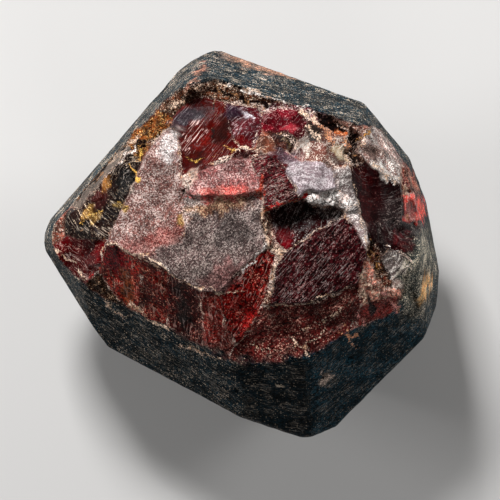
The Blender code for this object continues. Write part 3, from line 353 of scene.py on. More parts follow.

# mineral seams of each colour, the dark ones painted shade in cracks: width, how far they stand proud,
# strength and corners
seams = {
    "cream": [
        (0.144, 0.03, 0.85, [1.05, 1.6, 1.2, 0.7, 1.35, -0.05, 1.85, -0.55]),
        (0.135, 0.03, 0.665, [1.85, -0.55, 1.75, -1.3, 1.55, -2.05, 1.25, -2.6, 1.05, -3.05]),
        (0.126, 0.03, 0.665, [1.85, -0.55, 2.35, -0.25, 2.95, 0.2]),
        (0.1, 0, 0.65, [1.2, -2.95, 2.2, -3, 2.95, -3, 3.7, -2.7, 5.2, -2.2]),
        (0.117, 0.02, 0.617, [4.45, 5.2, 5.05, 4.6, 5.45, 3.95, 5.6, 3.1, 5.7, 2.2]),
        (0.144, 0.03, 0.665, [5.7, 2.2, 6.2, 0.2, 6.35, -0.6, 6.45, -1.3]),
        (0.18, 0.04, 0.712, [6.05, -1.3, 6.25, -1.9, 6.65, -2.4, 6.95, -2.05]),
        (0.12, 0, 0.7, [-2.05, -2.1, -0.95, -2.45, -0.05, -2.3]),
        (0.13, 0.02, 0.85, [-6.65, 0.05, -5.8, -0.25, -4.65, -0.7, -4, -1.1, -3.55, -1.4, -2.65, -1.95,
         -1.95, -2.25]),
        (0.09, 0, 0.8, [-9.2, -0.3, -8.65, -0.7, -8.1, -1.25, -7.7, -1.8]),
        (0.13, 0.03, 0.6, [-7.85, 2.7, -7.45, 3.2, -6.95, 3.7, -6.35, 4.2, -5.85, 4.6]),
        (0.18, 0.04, 0.712, [-5.75, 4.8, -5.45, 5.1, -5.05, 5.4]),
        (0.18, 0.05, 0.712, [-2.75, 7.6, -2.25, 7.7, -1.75, 7.5]),
        (0.18, 0.05, 0.665, [-3.45, 6.7, -3.15, 7, -2.85, 7.2]),
        (0.144, 0.04, 0.665, [-1.65, 8, -0.95, 8, -0.15, 7.8, 0.55, 7.6, 1.95, 7]),
        (0.198, 0.06, 0.76, [2.95, 6.6, 3.35, 6.3, 3.75, 6]),
        (0.234, 0.06, 0.76, [3.35, 5.7, 3.85, 5.3, 4.25, 4.7]),
        (0.18, 0.03, 0.76, [5.8, 4.7, 6, 4.9, 6.2, 5.05]),
        (0.144, 0.03, 0.665, [6.55, 3.9, 7.35, 3.3, 7.75, 3]),
        (0.162, 0.04, 0.665, [7.85, 3.3, 8.1, 2.9, 8.15, 2.4]),
        (0.216, 0.05, 0.76, [6, -1.4, 6.05, -2.1, 6.2, -2.8]),
        (0.18, 0.03, 0.617, [-6.85, -2.7, -6.45, -3.3, -5.85, -3.7]),
        (0.22, 0.03, 0.75, [-5.55, -2.9, -4.95, -3.4, -4.25, -4, -3.55, -4.35]),
        (0.126, 0.02, 0.57, [-3.05, -5, -2.05, -5.4, -0.95, -5.7]),
        (0.144, 0.04, 0.665, [-9.45, 0.9, -9.35, 0.4, -9.45, -0.1]),
        (0.126, 0.02, 0.57, [2.95, -4.3, 3.85, -3.9, 4.75, -3.4, 5.45, -2.8]),
        (0.108, 0.02, 0.522, [0.45, -5.05, 1.45, -5.3, 2.55, -5.1, 3.55, -4.8]),
        (0.08, 0.02, 0.9, [-0.3, 4.75, 0.5, 4.7, 1.3, 4.85]),
        (0.09, 0, 0.7, [2.5, -4.6, 3, -5.1, 3.5, -5.6]),
        (0.09, 0, 0.7, [3.4, -5, 3.9, -4.5, 4.3, -4.1]),
    ],
    "white": [
        (0.18, 0.03, 0.665, [2.95, 2.3, 3.55, 2, 4.35, 1.8, 5.15, 2]),
        (0.15, 0.02, 0.8, [1.35, 0, 1.05, -0.4, 0.15, -1.4]),
        (0.12, 0, 0.65, [-4.7, -0.7, -3.75, -1.2, -3.25, -1.6]),
        (0.108, 0.02, 0.76, [7.1, 3.4, 7.35, 3.2, 7.55, 3]),
        (0.09, 0, 0.712, [7.1, -0.15, 7.5, -0.25, 7.85, -0.45, 8.05, -0.7]),
        (0.09, 0, 0.712, [7.35, -0.9, 7.8, -0.95, 8.15, -1.1, 8.45, -1.3]),
        (0.1, 0.03, 0.9, [-0.6, 7.95, 0.25, 7.62, 1.3, 7.25, 1.95, 7.08, 3.6, 6.6]),
        (0.09, 0, 0.9, [6.4, -0.75, 6.8, -0.95, 7.2, -0.85, 7.7, -0.6]),
        (0.09, 0, 0.8, [6.8, -1.5, 7.3, -1.75, 7.8, -1.6]),
        (0.2, 0.05, 0.9, [-5.9, 4, -5.6, 4.5, -5.2, 4.7]),
    ],
    "peach": [
        (0.216, 0.06, 0.712, [3.75, 5.8, 4.25, 5.4, 4.65, 4.9]),
        (0.18, 0.05, 0.712, [4.75, 5.8, 5.05, 5.3, 5.25, 4.8]),
        (0.144, 0.04, 0.665, [-9.65, 0.4, -9.35, -0.3, -8.95, -0.9]),
        (0.09, 0, 0.75, [4.7, -4.3, 5.3, -4.6, 6, -4.5]),
        (0.09, 0, 0.75, [5.2, -4.1, 5.5, -4.9, 6, -5.3]),
    ],
    "ochre": [
        (0.09, 0.02, 0.51, [-1.65, 4.3, -1.25, 4.45, -0.8, 4.6]),
        (0.225, 0.04, 0.357, [-4.95, 4.9, -4.55, 5.4, -3.55, 6.4]),
        (0.18, 0.05, 0.595, [-5.25, 4.4, -4.95, 4.9]),
        (0.165, 0.05, 0.68, [5.85, 5.2, 6.1, 5.35, 6.4, 5.65]),
        (0.15, 0.04, 0.637, [6.4, -0.5, 6.6, -0.85, 6.8, -1.2]),
    ],
    "yellow": [
        (0.12, 0.03, 0.68, [-2.75, 4.2, -2.25, 4.2, -1.75, 4.25]),
        (0.17, 0.04, 0.85, [-0.85, 4.9, -0.65, 4.7, -0.35, 4.7]),
        (0.165, 0.04, 0.637, [-7.95, 0.9, -7.45, 1.4, -6.85, 1.7]),
        (0.165, 0.04, 0.637, [-6.35, 2, -5.95, 2.1, -5.65, 1.9]),
        (0.2, 0.05, 0.95, [-5.5, 3.95, -5.25, 3.6, -5.15, 3.2]),
        (0.12, 0.03, 0.51, [-6.9, 2.4, -6.65, 2.8, -6.35, 3.2]),
        (0.2, 0.05, 0.95, [-4.95, 4.75, -5, 4.25]),
    ],
    "pink": [
        (0.144, 0.02, 0.76, [8.15, 1.5, 8.55, 1.2, 9, 1.4, 9.2, 1.8]),
        (0.216, 0.04, 0.712, [6.35, -1.2, 6.6, -1.8, 6.95, -2.4, 7.25, -2.6]),
        (0.18, 0.02, 0.665, [6.85, -2.8, 7.25, -2.7, 7.75, -2.95, 7.65, -3.4]),
        (0.162, 0.02, 0.665, [5.85, -3.5, 6.15, -3.8, 6.25, -4.1]),
    ],
    "scarlet": [
        # painted glow: red light along the foot of the rose plate
        (0.1, 0, 0.6, [-2.85, 2.4, -2.25, 2.2, -1.45, 2.05, -0.65, 2.15, 0.15, 2.3, 1.05, 2.4]),
        (0.2, 0, 1, [1.15, 1.75, 1.95, 1.95, 2.65, 2.1, 3.2, 2.3]),
        (0.12, 0, 0.55, [-0.25, -5.05, 0.25, -4.3, 0.75, -3.6, 1.05, -3.2]),
        (0.14, 0, 0.8, [-7.65, -1.7, -7.25, -1.35, -6.8, -0.95]),
    ],
    # painted shade: the first is the shadow under the top rim, the sixth the shadow under the left rim, the
    # rest darken cracks
    "dark": [
        (0.18, -0.06, 0.85, [-1.75, 7.6, -1.05, 7.6, -0.25, 7.35, 0.55, 7.05, 1.35, 6.8]),
        (0.2, -0.08, 0.95, [6.45, 0.2, 6.65, -0.4, 7.05, -1.1, 7.35, -1.7, 7.5, -2.15]),
        (0.14, -0.05, 0.85, [-3.05, 2, -2.75, 2.6, -2.55, 3.1]),
        (0.16, -0.06, 0.8, [5.15, 4.7, 5.55, 4.3, 5.75, 3.7]),
        (0.08, -0.02, 0.9, [-1.4, 7.3, -1.35, 6.4, -1.35, 5.2]),
        (0.18, -0.05, 0.9, [-8.25, 2.2, -7.55, 3.05, -6.75, 3.95, -6.1, 4.7, -5.7, 5.1]),
        (0.2, -0.05, 0.9, [-8, 0.6, -7.4, 0.3, -6.75, 0.3]),
    ],
}


def selectOnly(obj):
    for other in bpy.context.selected_objects:
        other.select_set(False)
    obj.select_set(True)
    bpy.context.view_layer.objects.active = obj


def finishWith(obj, kind, **settings):
    # adds a modifier and applies it
    selectOnly(obj)
    added = obj.modifiers.new(kind.lower(), kind)
    for name, value in settings.items():
        setattr(added, name, value)
    bpy.ops.object.modifier_apply(modifier=added.name)


def copyOfNode(name):
    # the CAD node's loose triangles, merged, and scaled up so that 1 unit is 1 mm
    copied = bpy.data.objects.new(name + "Copy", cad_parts[name].data.copy())
    bpy.context.scene.collection.objects.link(copied)
    selectOnly(copied)
    bpy.ops.object.mode_set(mode="EDIT")
    bpy.ops.mesh.select_all(action="SELECT")
    bpy.ops.mesh.remove_doubles(threshold=0.01 * mm)
    bpy.ops.object.mode_set(mode="OBJECT")
    copied.scale = (1 / mm, 1 / mm, 1 / mm)
    bpy.ops.object.transform_apply(location=False, rotation=False, scale=True)
    return copied


def readRows(items, field, width=3, kind=np.float32):
    # one row of numbers for each item
    values = np.empty(len(items) * width, dtype=kind)
    items.foreach_get(field, values)
    return values.reshape(-1, width)


def edgeDistance(points, outline, closed=True):
    # distance from each point to the nearest part of a line of corners
    corners = np.reshape(outline, (-1, 2))
    ends = np.roll(corners, -1, axis=0) if closed else corners[1:]
    nearest = np.full(len(points), np.inf)
    for start, end in zip(corners, ends):
        along = end - start
        share = np.clip(((points - start) @ along) / max(along @ along, 1e-9), 0, 1)
        gap = points - start - share[:, None] * along
        nearest = np.minimum(nearest, np.hypot(gap[:, 0], gap[:, 1]))
    return nearest


def insideOutline(points, outline):
    corners = np.reshape(outline, (-1, 2))
    inside = np.zeros(len(points), dtype=bool)
    for (x1, y1), (x2, y2) in zip(corners, np.roll(corners, -1, axis=0)):
        if y1 == y2:
            continue
        crosses = (y1 > points[:, 1]) != (y2 > points[:, 1])
        inside ^= crosses & (points[:, 0] < (x2 - x1) * (points[:, 1] - y1) / (y2 - y1) + x1)
    return inside


def depthInside(points, outline):
    # distance to the outline, positive inside it and negative outside
    return np.where(insideOutline(points, outline), 1, -1) * edgeDistance(points, outline)


def smoothShare(values, low, high):
    share = np.clip((values - low) / (high - low), 0, 1)
    return share * share * (3 - 2 * share)


def noiseOn(points, size, shift=0.0):
    # smooth noise between about -1 and 1, with lumps of the given size
    return np.array([noise.noise(Vector(p)) for p in points / size + shift])


def waverOn(points, shift):
    # a coarse and a fine wandering together
    return noiseOn(points, 0.5, shift) + 0.5 * noiseOn(points, 0.17, shift + 5)


def lumpsOn(points, size):
    # rounded crumbs: high in the middle of each cell, low in the cracks between
    reach = np.array([noise.voronoi(Vector(p))[0][:2] for p in points / size])
    return np.clip(reach[:, 1] - reach[:, 0], 0, 0.6) / 0.6


# mixes a cell's middle into three numbers from 0 to 1 that look thrown by chance
chipDice = np.array([[12.99, 39.35, 73.16], [78.23, 11.14, 52.24], [37.72, 83.16, 9.15]])


def chipsOn(points, size):
    # each cell is one flat chip: its own shade from 0 to 1, and a height that tilts it its own way
    cells = points / size + 13.0
    middles = np.array([noise.voronoi(Vector(p))[1][0] for p in cells])
    dice = np.modf(np.abs(np.sin(middles @ chipDice) * 4375.85))[0]
    tilt = dice[:, :2] * 2 - 1
    lift = ((cells - middles)[:, :2] * tilt).sum(axis=1) + (dice[:, 2] - 0.5) * 0.3
    return dice[:, 2], lift * size


def growCrystal():
    # an even mesh over the CAD solid, finer on the break
    shape = crystalShape
    exact = copyOfNode(shape["node"])
    crystal = exact.copy()
    crystal.data = exact.data.copy()
    crystal.name = "garnetCrystal"
    bpy.context.scene.collection.objects.link(crystal)
    finishWith(crystal, "REMESH", mode="VOXEL", voxel_size=shape["cell"])

    centres = readRows(crystal.data.polygons, "center")
    onBreak = depthInside(centres[:, :2], breakRim) > -shape["breakMargin"]
    onBreak &= centres[:, 2] > shape["lowestBreak"]
    bpy.ops.object.mode_set(mode="EDIT")
    bpy.ops.mesh.select_mode(type="FACE")
    bpy.ops.mesh.select_all(action="DESELECT")
    bpy.ops.object.mode_set(mode="OBJECT")
    crystal.data.polygons.foreach_set("select", onBreak)
    bpy.ops.object.mode_set(mode="EDIT")
    bpy.ops.mesh.subdivide(number_cuts=1)
    bpy.ops.mesh.select_all(action="SELECT")
    bpy.ops.mesh.quads_convert_to_tris()
    bpy.ops.object.mode_set(mode="OBJECT")

    finishWith(crystal, "SHRINKWRAP", target=exact)
    bpy.data.objects.remove(exact)
    print("crystal meshed:", len(crystal.data.polygons), "triangles")
    return crystal


def blankPaint(count):
    paint = {name: np.zeros((count, 3)) for name in ("body", "grain", "crumb", "flow")}
    for name in ("share", "rough", "lines", "hatch", "chips", "crumbs", "proud"):
        paint[name] = np.zeros(count)
    paint["shade"] = np.full(count, 0.5)
    paint["kinds"] = {kind: np.zeros(count) for kind in surfaceKinds}
    return paint


def linear(colour):
    # from the colour picker's hex code to the renderer's linear values
    levels = np.array(list(bytes.fromhex(colour))) / 255
    return np.where(levels <= 0.04045, levels / 12.92, ((levels + 0.055) / 1.055) ** 2.4)


def brush(paint, finish, share):
    for key in ("body", "grain"):
        paint[key] += (linear(finish[key]) - paint[key]) * share[:, None]
    plain = {"lines": 0, "hatch": 0, "chips": 0} if "kind" in finish else {}
    for key, value in {**plain, **finish}.items():
        if key in ("share", "rough", "lines", "hatch", "chips"):
            paint[key] += (value - paint[key]) * share
    if "kind" in finish:
        for kind, amount in paint["kinds"].items():
            amount += ((kind == finish["kind"]) - amount) * share


def turned(places, degrees):
    # how far places lie along and across a direction
    x, y = places[:, 0], places[:, 1]
    turn = math.radians(degrees)
    return x * math.cos(turn) + y * math.sin(turn), y * math.cos(turn) - x * math.sin(turn)


def flowOf(points, finish):
    # across and along the striations, counted in striation widths; arcs run round their middle
    width = finish.get("width", 0.12)
    if "arcs" in finish:
        apart = points[:, :2] - np.array(finish["arcs"])
        across = np.hypot(apart[:, 0], apart[:, 1])
        along = np.arctan2(apart[:, 1], apart[:, 0]) * across.mean()
    else:
        along, across = turned(points, finish.get("runs", 45))
    length = width * finish.get("length", 6)
    return np.stack([across / width, along / length, points[:, 2] / width * 0.1], axis=1)


def paintSkin(paint, points, normals):
    brush(paint, skinFinish, np.ones(len(points)))
    turns, paintedFaceLight, streaked = np.array(skinFaces).T
    turns = np.radians(turns)
    facing = np.stack([np.cos(turns), np.sin(turns)], axis=1)
    near = normals[:, :2] @ facing.T
    # level streaks along each crystal face
    nearest = np.argmax(near, axis=1)
    out = facing[nearest]
    across = (points[:, :2] * out).sum(axis=1) - points[:, 2]
    along = points[:, 1] * out[:, 0] - points[:, 0] * out[:, 1]
    width = skinFinish["width"]
    length = width * skinFinish["length"]
    paint["flow"][:] = np.stack([across / width, along / length, nearest * 7.3], axis=1)
    pull = np.exp(skinFinish["sharp"] * near)
    # painted light: each skin face is painted paler or darker as listed in skinFaces, blended where faces
    # meet
    paint["shade"][:] = (pull @ paintedFaceLight) / pull.sum(axis=1)
    paint["lines"][:] = (pull @ streaked) / pull.sum(axis=1)
    paint["share"] += skinFinish["grainLeast"] + skinFinish["grainStreaked"] * paint["lines"]


def paintBreak(paint, points, waver):
    shape = breakShape
    spread = points[:, :2] + waver * wander["facet"]
    lowest = crystalShape["lowestBreak"]
    onTop = smoothShare(points[:, 2], lowest, lowest + shape["sideEdge"])
    # the skin starts sharply, except along the worn foot of the break
    soft = smoothShare(-points[:, 1], *shape["foot"])
    depth = depthInside(spread + waver * shape["footWander"] * soft[:, None], breakRim)
    depth = (depth - shape["footInset"] * soft) / (1 + shape["footFade"] * soft)
    share = smoothShare(depth, *shape["skinEdge"]) * onTop
    brush(paint, plainBreak, share)
    paint["shade"] += (0.5 - paint["shade"]) * share
    for finish in facets.values():
        inside = smoothShare(depthInside(spread, finish["outline"]), *shape["facetEdge"]) * share
        brush(paint, finish, inside)
        sure = inside > 0.5
        paint["flow"][sure] = flowOf(points[sure], finish)
    return share


def paintPatches(paint, points, waver):
    for spot in softPatches:
        apart = points[:, :2] + waver * wander["patch"] - np.array(spot["at"])
        along, across = turned(apart, spot["turn"])
        reach = np.hypot(along / spot["size"][0], across / spot["size"][1])
        onTop = points[:, 2] > spot.get("down", crystalShape["lowestBreak"])
        brush(paint, spot, (1 - smoothShare(reach, *breakShape["patchEdge"])) * onTop)


def paintEdgeCrumbs(paint, points, waver, share):
    # pale crumbs here and there along the facets' edges
    spread = points[:, :2] + waver * wander["crumb"]
    nearest = np.full(len(points), np.inf)
    onBreak = share > crystalShape["seen"]
    for finish in facets.values():
        if finish.get("edge") != 0:
            away = edgeDistance(spread[onBreak], finish["outline"])
            nearest[onBreak] = np.minimum(nearest[onBreak], away)
    patchy = smoothShare(noiseOn(points, edgeCrumbs["patchSize"], shift=60.0), *edgeCrumbs["patchFrom"])
    close = 1 - smoothShare(nearest, 0, edgeCrumbs["width"])
    paint["crumb"][:] = linear(edgeCrumbs["colour"])
    paint["crumbs"][:] = close * patchy * edgeCrumbs["amount"] * share


def paintSeams(paint, points, waver):
    spread = points[:, :2] + waver * wander["seam"]
    fine, coarse = seamSwell["fine"], seamSwell["coarse"]
    swell = 1 + fine[0] * noiseOn(points, fine[1], shift=80.0)
    swell = swell + coarse[0] * noiseOn(points, coarse[1], shift=85.0)
    base, gain, least, most = seamSwell["cover"]
    strength = np.clip(base + gain * swell, least, most)
    onTop = points[:, 2] > crystalShape["lowestBreak"]
    for colour, lines in seams.items():
        for width, proud, amount, path in lines:
            away = edgeDistance(spread, path, closed=False) / np.maximum(swell, seamSwell["least"])
            cover = (1 - smoothShare(away, 0, width)) * amount * onTop * strength
            stronger = cover > paint["crumbs"]
            paint["crumb"][stronger] = linear(crumbColours[colour])
            paint["crumbs"] = np.maximum(paint["crumbs"], cover)
            paint["proud"] += cover * proud


def shapeSurface(crystal, paint, points, normals):
    # lumps, grit and striations move the surface along its normals
    height = np.zeros(len(points))
    for kind, surface in surfaceKinds.items():
        amount = paint["kinds"][kind]
        near = amount > crystalShape["seen"]
        if not near.any():
            continue
        place = points[near]
        lump, lumpSize = surface["lump"]
        grit, gritSize = surface["grit"]
        rounded = kind in ("crumbly", "granular")
        lumps = lumpsOn(place, lumpSize) - 0.5 if rounded else noiseOn(place, lumpSize, shift=3.7)
        rise = lumps * lump + noiseOn(place, gritSize, shift=9.1) * grit
        if surface["line"]:
            rise += noiseOn(paint["flow"][near], 1.6, shift=5.3) * surface["line"] * paint["lines"][near]
        chipped = paint["chips"][near]
        chip, chipSize = surface["chip"]
        if chip and chipped.any():
            shade, lift = chipsOn(place, chipSize)
            rise += lift * chipped * chip
            paint["shade"][near] += (shade - 0.5) * chipped * amount[near]
        height[near] += rise * amount[near]
    base, gain, size = seamSwell["proud"]
    height += paint["proud"] * (base + gain * noiseOn(points, size, shift=1.9))
    moved = points + normals * height[:, None]
    moved[:, 2] = np.where(points[:, 2] < crystalShape["restLayer"], points[:, 2], moved[:, 2])
    crystal.data.vertices.foreach_set("co", (moved * mm).ravel())
    crystal.data.update()


def storeColour(crystal, name, colours, alpha):
    made = crystal.data.color_attributes.new(name, "FLOAT_COLOR", "POINT")
    alphas = np.broadcast_to(alpha, len(colours))
    made.data.foreach_set("color", np.column_stack([colours, alphas]).ravel())


def storePaint(crystal, paint):
    kinds = paint["kinds"]
    glass = kinds["glassy"] + kinds["smooth"] * 0.7
    storeColour(crystal, "body", paint["body"], paint["share"])
    storeColour(crystal, "grain", paint["grain"], paint["rough"])
    storeColour(crystal, "crumb", paint["crumb"], paint["crumbs"])
    storeColour(crystal, "kind", np.stack([glass, kinds["crumbly"], kinds["skin"]], axis=1), paint["lines"])
    unused = np.zeros(len(glass))
    storeColour(crystal, "detail", np.stack([paint["hatch"], paint["shade"], unused], axis=1), 1)
    flow = crystal.data.attributes.new("flow", "FLOAT_VECTOR", "POINT")
    flow.data.foreach_set("vector", paint["flow"].ravel())


def paintCrystal(crystal):
    points = readRows(crystal.data.vertices, "co").astype(np.float64)
    normals = readRows(crystal.data.vertex_normals, "vector").astype(np.float64)
    waver = np.stack([waverOn(points, 20.0), waverOn(points, 40.0)], axis=1)
    paint = blankPaint(len(points))
    paintSkin(paint, points, normals)
    share = paintBreak(paint, points, waver)
    paintPatches(paint, points, waver)
    paintEdgeCrumbs(paint, points, waver, share)
    paintSeams(paint, points, waver)
    shapeSurface(crystal, paint, points, normals)
    storePaint(crystal, paint)
    print("crystal painted")


garnetLook = {
    # IOR and specular level of each material, which set how strongly it mirrors its surroundings
    "mirroring": {"garnetGlass": (1.79, 0.03), "garnetGrain": (1.6, 0.02), "garnetSkin": (1.5, 0.012)},
    "relief": 0.07 * mm,
    # noise cells per mm
    "scales": {"fine": 14.0, "mottle": 7.5, "coarse": 1.6, "drift": 0.9, "paintedGlint": 11.0, "crumb": 12.0,
               "crack": 2.4, "warm": 3.0, "scratchAndGlintKept": 1.3},
    # the noise at which each mark starts and is full
    "grainFrom": (0.65, 0.76),
    "mottleFrom": (0.38, 0.66),
    "driftFrom": (0.3, 0.7),
    "dotFrom": (0.45, 0.25),
    "paintedGlintFrom": (0.8, 0.9),
    "speckFrom": (0.75, 0.85),
    "scratchAndGlintFrom": (0.022, 0.004),
    "scratchAndGlintKeptFrom": (0.48, 0.62),
    "crackFrom": (0.09, 0.03),
    "crackedFrom": (0.45, 0.55),
    "seamFrom": (0.56, 0.7),
    "warmFrom": (0.52, 0.66),
    # how strong each one is at most
    "most": {"grainLines": 0.8, "mottleLines": 0.5, "evenGlass": 0.65, "glassPaintedGlint": 0.35, "speck": 0.8,
             "crack": 0.85, "crumbLumps": 3.0, "warmth": 0.7, "roughness": 0.3},
    # the darkest and brightest that each one makes the colour
    "mottleTones": (0.04, 0.45, 1.9),  # darkest with little grain, darkest with much, and brightest
    "driftTones": (0.5, 1.45),
    "chipAndFaceLightTones": (0.35, 1.65),
    "seamTones": (0.35, 1.6),
    "speckTone": 0.15,
    "scratchAndGlintTint": (0.9, 0.85, 0.82, 1),
    "warmTint": (0.42, 0.2, 0.09, 1),
}


def addNode(kind, values, **settings):
    # a node in the tree that its first linked value comes from
    tree = next(v.id_data for v in values.values() if isinstance(v, bpy.types.NodeSocket))
    made = tree.nodes.new(kind)
    for name, value in settings.items():
        setattr(made, name, value)
    for name, value in values.items():
        if isinstance(value, bpy.types.NodeSocket):
            tree.links.new(value, made.inputs[name])
        else:
            made.inputs[name].default_value = value
    return made


def calc(operation, *values, clamp=False):
    values = dict(enumerate(values))
    return addNode("ShaderNodeMath", values, operation=operation, use_clamp=clamp).outputs[0]


def times(product, *others):
    for other in others:
        product = calc("MULTIPLY", product, other)
    return product


def plus(one, two):
    return calc("ADD", one, two)


def minus(one, two):
    return calc("SUBTRACT", one, two)


def scaled(colour, amount):
    return addNode("ShaderNodeVectorMath", {0: colour, "Scale": amount}, operation="SCALE").outputs[0]


def ramp(value, low, high, lowOut=0.0, highOut=1.0):
    values = {"Value": value, "From Min": low, "From Max": high, "To Min": lowOut, "To Max": highOut}
    return addNode("ShaderNodeMapRange", values, interpolation_type="SMOOTHSTEP").outputs[0]


def blended(share, one, two):
    # the Mix node's colour sockets are A (6), B (7) and Result (2)
    return addNode("ShaderNodeMix", {0: share, 6: one, 7: two}, data_type="RGBA").outputs[2]


def noiseNode(place, scale, detail=2.0, roughness=0.6):
    values = {"Vector": place, "Scale": scale, "Detail": detail, "Roughness": roughness}
    return addNode("ShaderNodeTexNoise", values).outputs["Fac"]


def channels(colour):
    return addNode("ShaderNodeSeparateColor", {"Color": colour}).outputs


def attributeNode(tree, name):
    made = tree.nodes.new("ShaderNodeAttribute")
    made.attribute_name = name
    return made.outputs


def garnetMaterial(name):
    look = garnetLook
    scales, most = look["scales"], look["most"]
    material = bpy.data.materials.new(name)
    material.use_nodes = True
    tree = material.node_tree
    shader = tree.nodes["Principled BSDF"]
    painted = {n: attributeNode(tree, n) for n in ("body", "grain", "crumb", "kind", "detail", "flow")}
    body, grain, crumb, kind, detail, flow = painted.values()
    glass, crumbly = channels(kind["Color"])[:2]
    hatch, shade = channels(detail["Color"])[:2]
    flow = flow["Vector"]
    place = tree.nodes.new("ShaderNodeTexCoord").outputs["Object"]
    place = addNode("ShaderNodeVectorMath", {0: place, 1: (1 / mm,) * 3}, operation="MULTIPLY").outputs[0]

    # fine and coarse noise and the striations together decide where the pale grain shows
    fine = noiseNode(place, scales["fine"], 2, 0.7)
    coarse = noiseNode(place, scales["coarse"], 3)
    lined = times(minus(noiseNode(flow, 1.0), 0.5), kind["Alpha"])
    mixed = plus(plus(times(fine, 0.7), times(coarse, 0.3)), times(lined, most["grainLines"]))
    pale = ramp(plus(mixed, times(body["Alpha"], 0.3)), *look["grainFrom"])
    mottle = plus(noiseNode(place, scales["mottle"], 3, 0.75), times(lined, most["mottleLines"]))
    bare, covered, brightest = look["mottleTones"]
    deepest = ramp(body["Alpha"], 0.2, 0.6, bare, covered)
    mottled = ramp(mottle, *look["mottleFrom"], deepest, brightest)
    even = times(glass, most["evenGlass"])
    mottled = plus(times(mottled, minus(1.0, even)), even)
    colour = blended(pale, scaled(body["Color"], mottled), grain["Color"])

    # every chip has its own shade, each skin face is painted paler or darker as painted light, and the tone
    # drifts slowly over the rest
    drift = ramp(noiseNode(place, scales["drift"]), *look["driftFrom"], *look["driftTones"])
    colour = scaled(colour, times(ramp(shade, 0.0, 1.0, *look["chipAndFaceLightTones"]), drift))

    # painted glints: single crystal faces in the grain painted bright as painted highlights, and dark specks
    # between them
    cells = addNode("ShaderNodeTexVoronoi", {"Vector": place, "Scale": scales["paintedGlint"]}).outputs
    brightPick, darkPick = channels(cells["Color"])[:2]
    dot = ramp(cells["Distance"], *look["dotFrom"])
    paintedGlint = times(ramp(brightPick, *look["paintedGlintFrom"]), dot, ramp(glass, 0, 1, 1, most["glassPaintedGlint"]))
    paintedGlint = times(paintedGlint, ramp(body["Alpha"], 0, 0.22, 0.1, 0.8))
    colour = blended(paintedGlint, colour, grain["Color"])
    darker = scaled(body["Color"], look["speckTone"])
    speck = times(ramp(darkPick, *look["speckFrom"]), dot, minus(1.0, glass), most["speck"])
    colour = blended(speck, colour, darker)

    # hatching: thin pale scratches along the striations, broken up; on glass they are also painted highlights
    wave = calc("ABSOLUTE", minus(noiseNode(flow, 0.6, 2, 0.5), 0.5))
    kept = plus(noiseNode(place, scales["scratchAndGlintKept"]), times(hatch, 0.12))
    thin = times(ramp(wave, *look["scratchAndGlintFrom"]), hatch, ramp(kept, *look["scratchAndGlintKeptFrom"]))
    colour = blended(thin, colour, blended(0.25, grain["Color"], look["scratchAndGlintTint"]))

    # dark cracks between the crumbs, painted shade in the gaps
    gaps = {"Vector": place, "Scale": scales["crack"]}
    gaps = addNode("ShaderNodeTexVoronoi", gaps, feature="DISTANCE_TO_EDGE").outputs["Distance"]
    crack = ramp(gaps, *look["crackFrom"])
    crack = times(crack, crumbly, ramp(coarse, *look["crackedFrom"]))
    colour = blended(times(crack, most["crack"]), colour, darker)

    # crumbs and seams, broken up by noise
    lumps = minus(noiseNode(place, scales["crumb"], 3, 0.7), 0.5)
    seam = ramp(plus(crumb["Alpha"], times(lumps, most["crumbLumps"])), *look["seamFrom"])
    seam = times(seam, ramp(crumb["Alpha"], 0.02, 0.12))
    warmth = ramp(noiseNode(place, scales["warm"]), *look["warmFrom"], 0, most["warmth"])
    warm = blended(warmth, crumb["Color"], look["warmTint"])
    colour = blended(seam, colour, scaled(warm, ramp(fine, 0.34, 0.6, *look["seamTones"])))
    tree.links.new(colour, shader.inputs["Base Color"])

    rough = plus(grain["Alpha"], times(minus(fine, 0.5), most["roughness"]))
    rough = calc("ADD", rough, times(seam, most["roughness"]), clamp=True)
    tree.links.new(rough, shader.inputs["Roughness"])
    for socket, value in zip(("IOR", "Specular IOR Level"), look["mirroring"][name]):
        shader.inputs[socket].default_value = value

    relief = plus(times(mixed, ramp(glass, 0.0, 1.0, 1.0, 0.3)), times(lined, 0.5))
    relief = minus(plus(relief, times(seam, 0.5)), times(crack, 0.8))
    bump = addNode("ShaderNodeBump", {"Height": relief, "Distance": look["relief"]})
    tree.links.new(bump.outputs["Normal"], shader.inputs["Normal"])
    return material


def dressCrystal(crystal):
    # each face takes the material of the kind of surface that it mostly is
    crystal.data.materials.clear()
    for name in garnetLook["mirroring"]:
        crystal.data.materials.append(garnetMaterial(name))
    kinds = readRows(crystal.data.color_attributes["kind"].data, "color", 4)
    corners = readRows(crystal.data.polygons, "vertices", 3, np.int32)
    glass, crumbly, skin = kinds[corners].mean(axis=1).T[:3]
    chosen = np.where(skin > 0.5, 2, np.where(glass > 0.5, 0, 1))
    crystal.data.polygons.foreach_set("material_index", chosen.astype(np.int32))


stageSetup = {
    "floorSize": 0.6,
    "floorColour": (0.62, 0.61, 0.6, 1),
    "lens": 800,  # long enough that the view has almost no perspective
    "viewWidth": 25.0,  # mm across the view, at the height of the outline
    "outlineHeight": 10.0,
    "lookAt": (0.45, -0.3),
    "worldLight": 0.05,
}

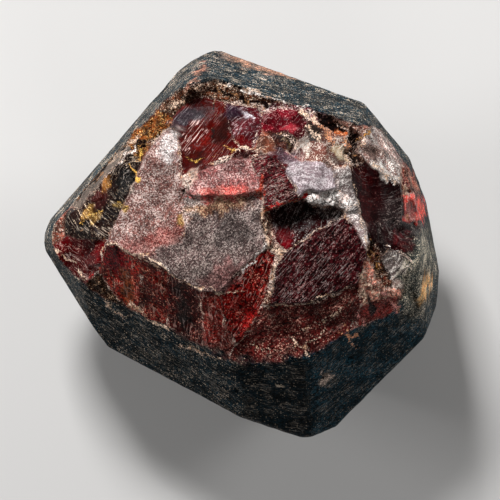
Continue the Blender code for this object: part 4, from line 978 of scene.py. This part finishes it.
# each lamp: place in mm, size in mm, power in watts
lamps = {
    "keyLamp": {"at": (-40, 120, 165), "size": 40, "power": 0.46},
    "leftLamp": {"at": (-170, 40, 90), "size": 60, "power": 0.14},
    "rightLamp": {"at": (150, 90, 90), "size": 60, "power": 0.12},
    "lowLamp": {"at": (40, -170, 120), "size": 90, "power": 0.05},
}


def buildFloor():
    bpy.ops.mesh.primitive_plane_add(size=stageSetup["floorSize"], location=(0, 0, 0))
    floor = bpy.context.active_object
    floor.name = "floor"
    paper = bpy.data.materials.new("palePaper")
    paper.use_nodes = True
    shader = paper.node_tree.nodes["Principled BSDF"]
    shader.inputs["Base Color"].default_value = stageSetup["floorColour"]
    shader.inputs["Roughness"].default_value = 0.8
    floor.data.materials.append(paper)


def buildLamps():
    middle = Vector((0, 0, stageSetup["outlineHeight"])) * mm
    for name, lamp in lamps.items():
        light = bpy.data.lights.new(name, "AREA")
        light.energy = lamp["power"]
        light.size = lamp["size"] * mm
        placed = bpy.data.objects.new(name, light)
        placed.location = Vector(lamp["at"]) * mm
        placed.rotation_euler = (middle - placed.location).to_track_quat("-Z", "Y").to_euler()
        bpy.context.scene.collection.objects.link(placed)
    world = bpy.data.worlds.new("studio")
    world.use_nodes = True
    world.node_tree.nodes["Background"].inputs["Color"].default_value = (1, 1, 1, 1)
    world.node_tree.nodes["Background"].inputs["Strength"].default_value = stageSetup["worldLight"]
    bpy.context.scene.world = world


def buildCamera():
    data = bpy.data.cameras.new("camera")
    data.lens = stageSetup["lens"]
    away = stageSetup["viewWidth"] * data.lens / data.sensor_width
    data.clip_start = 0.05
    data.clip_end = 5
    camera = bpy.data.objects.new("camera", data)
    x, y = stageSetup["lookAt"]
    camera.location = Vector((x, y, stageSetup["outlineHeight"] + away)) * mm
    bpy.context.scene.collection.objects.link(camera)
    bpy.context.scene.camera = camera


crystal = growCrystal()
paintCrystal(crystal)
dressCrystal(crystal)
crystal.data.shade_smooth()
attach(crystal, "root")
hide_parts(crystalShape["node"])
print("crystal finished")

buildFloor()
buildLamps()
buildCamera()
bpy.context.scene.view_settings.view_transform = "Standard"
print("stage built")
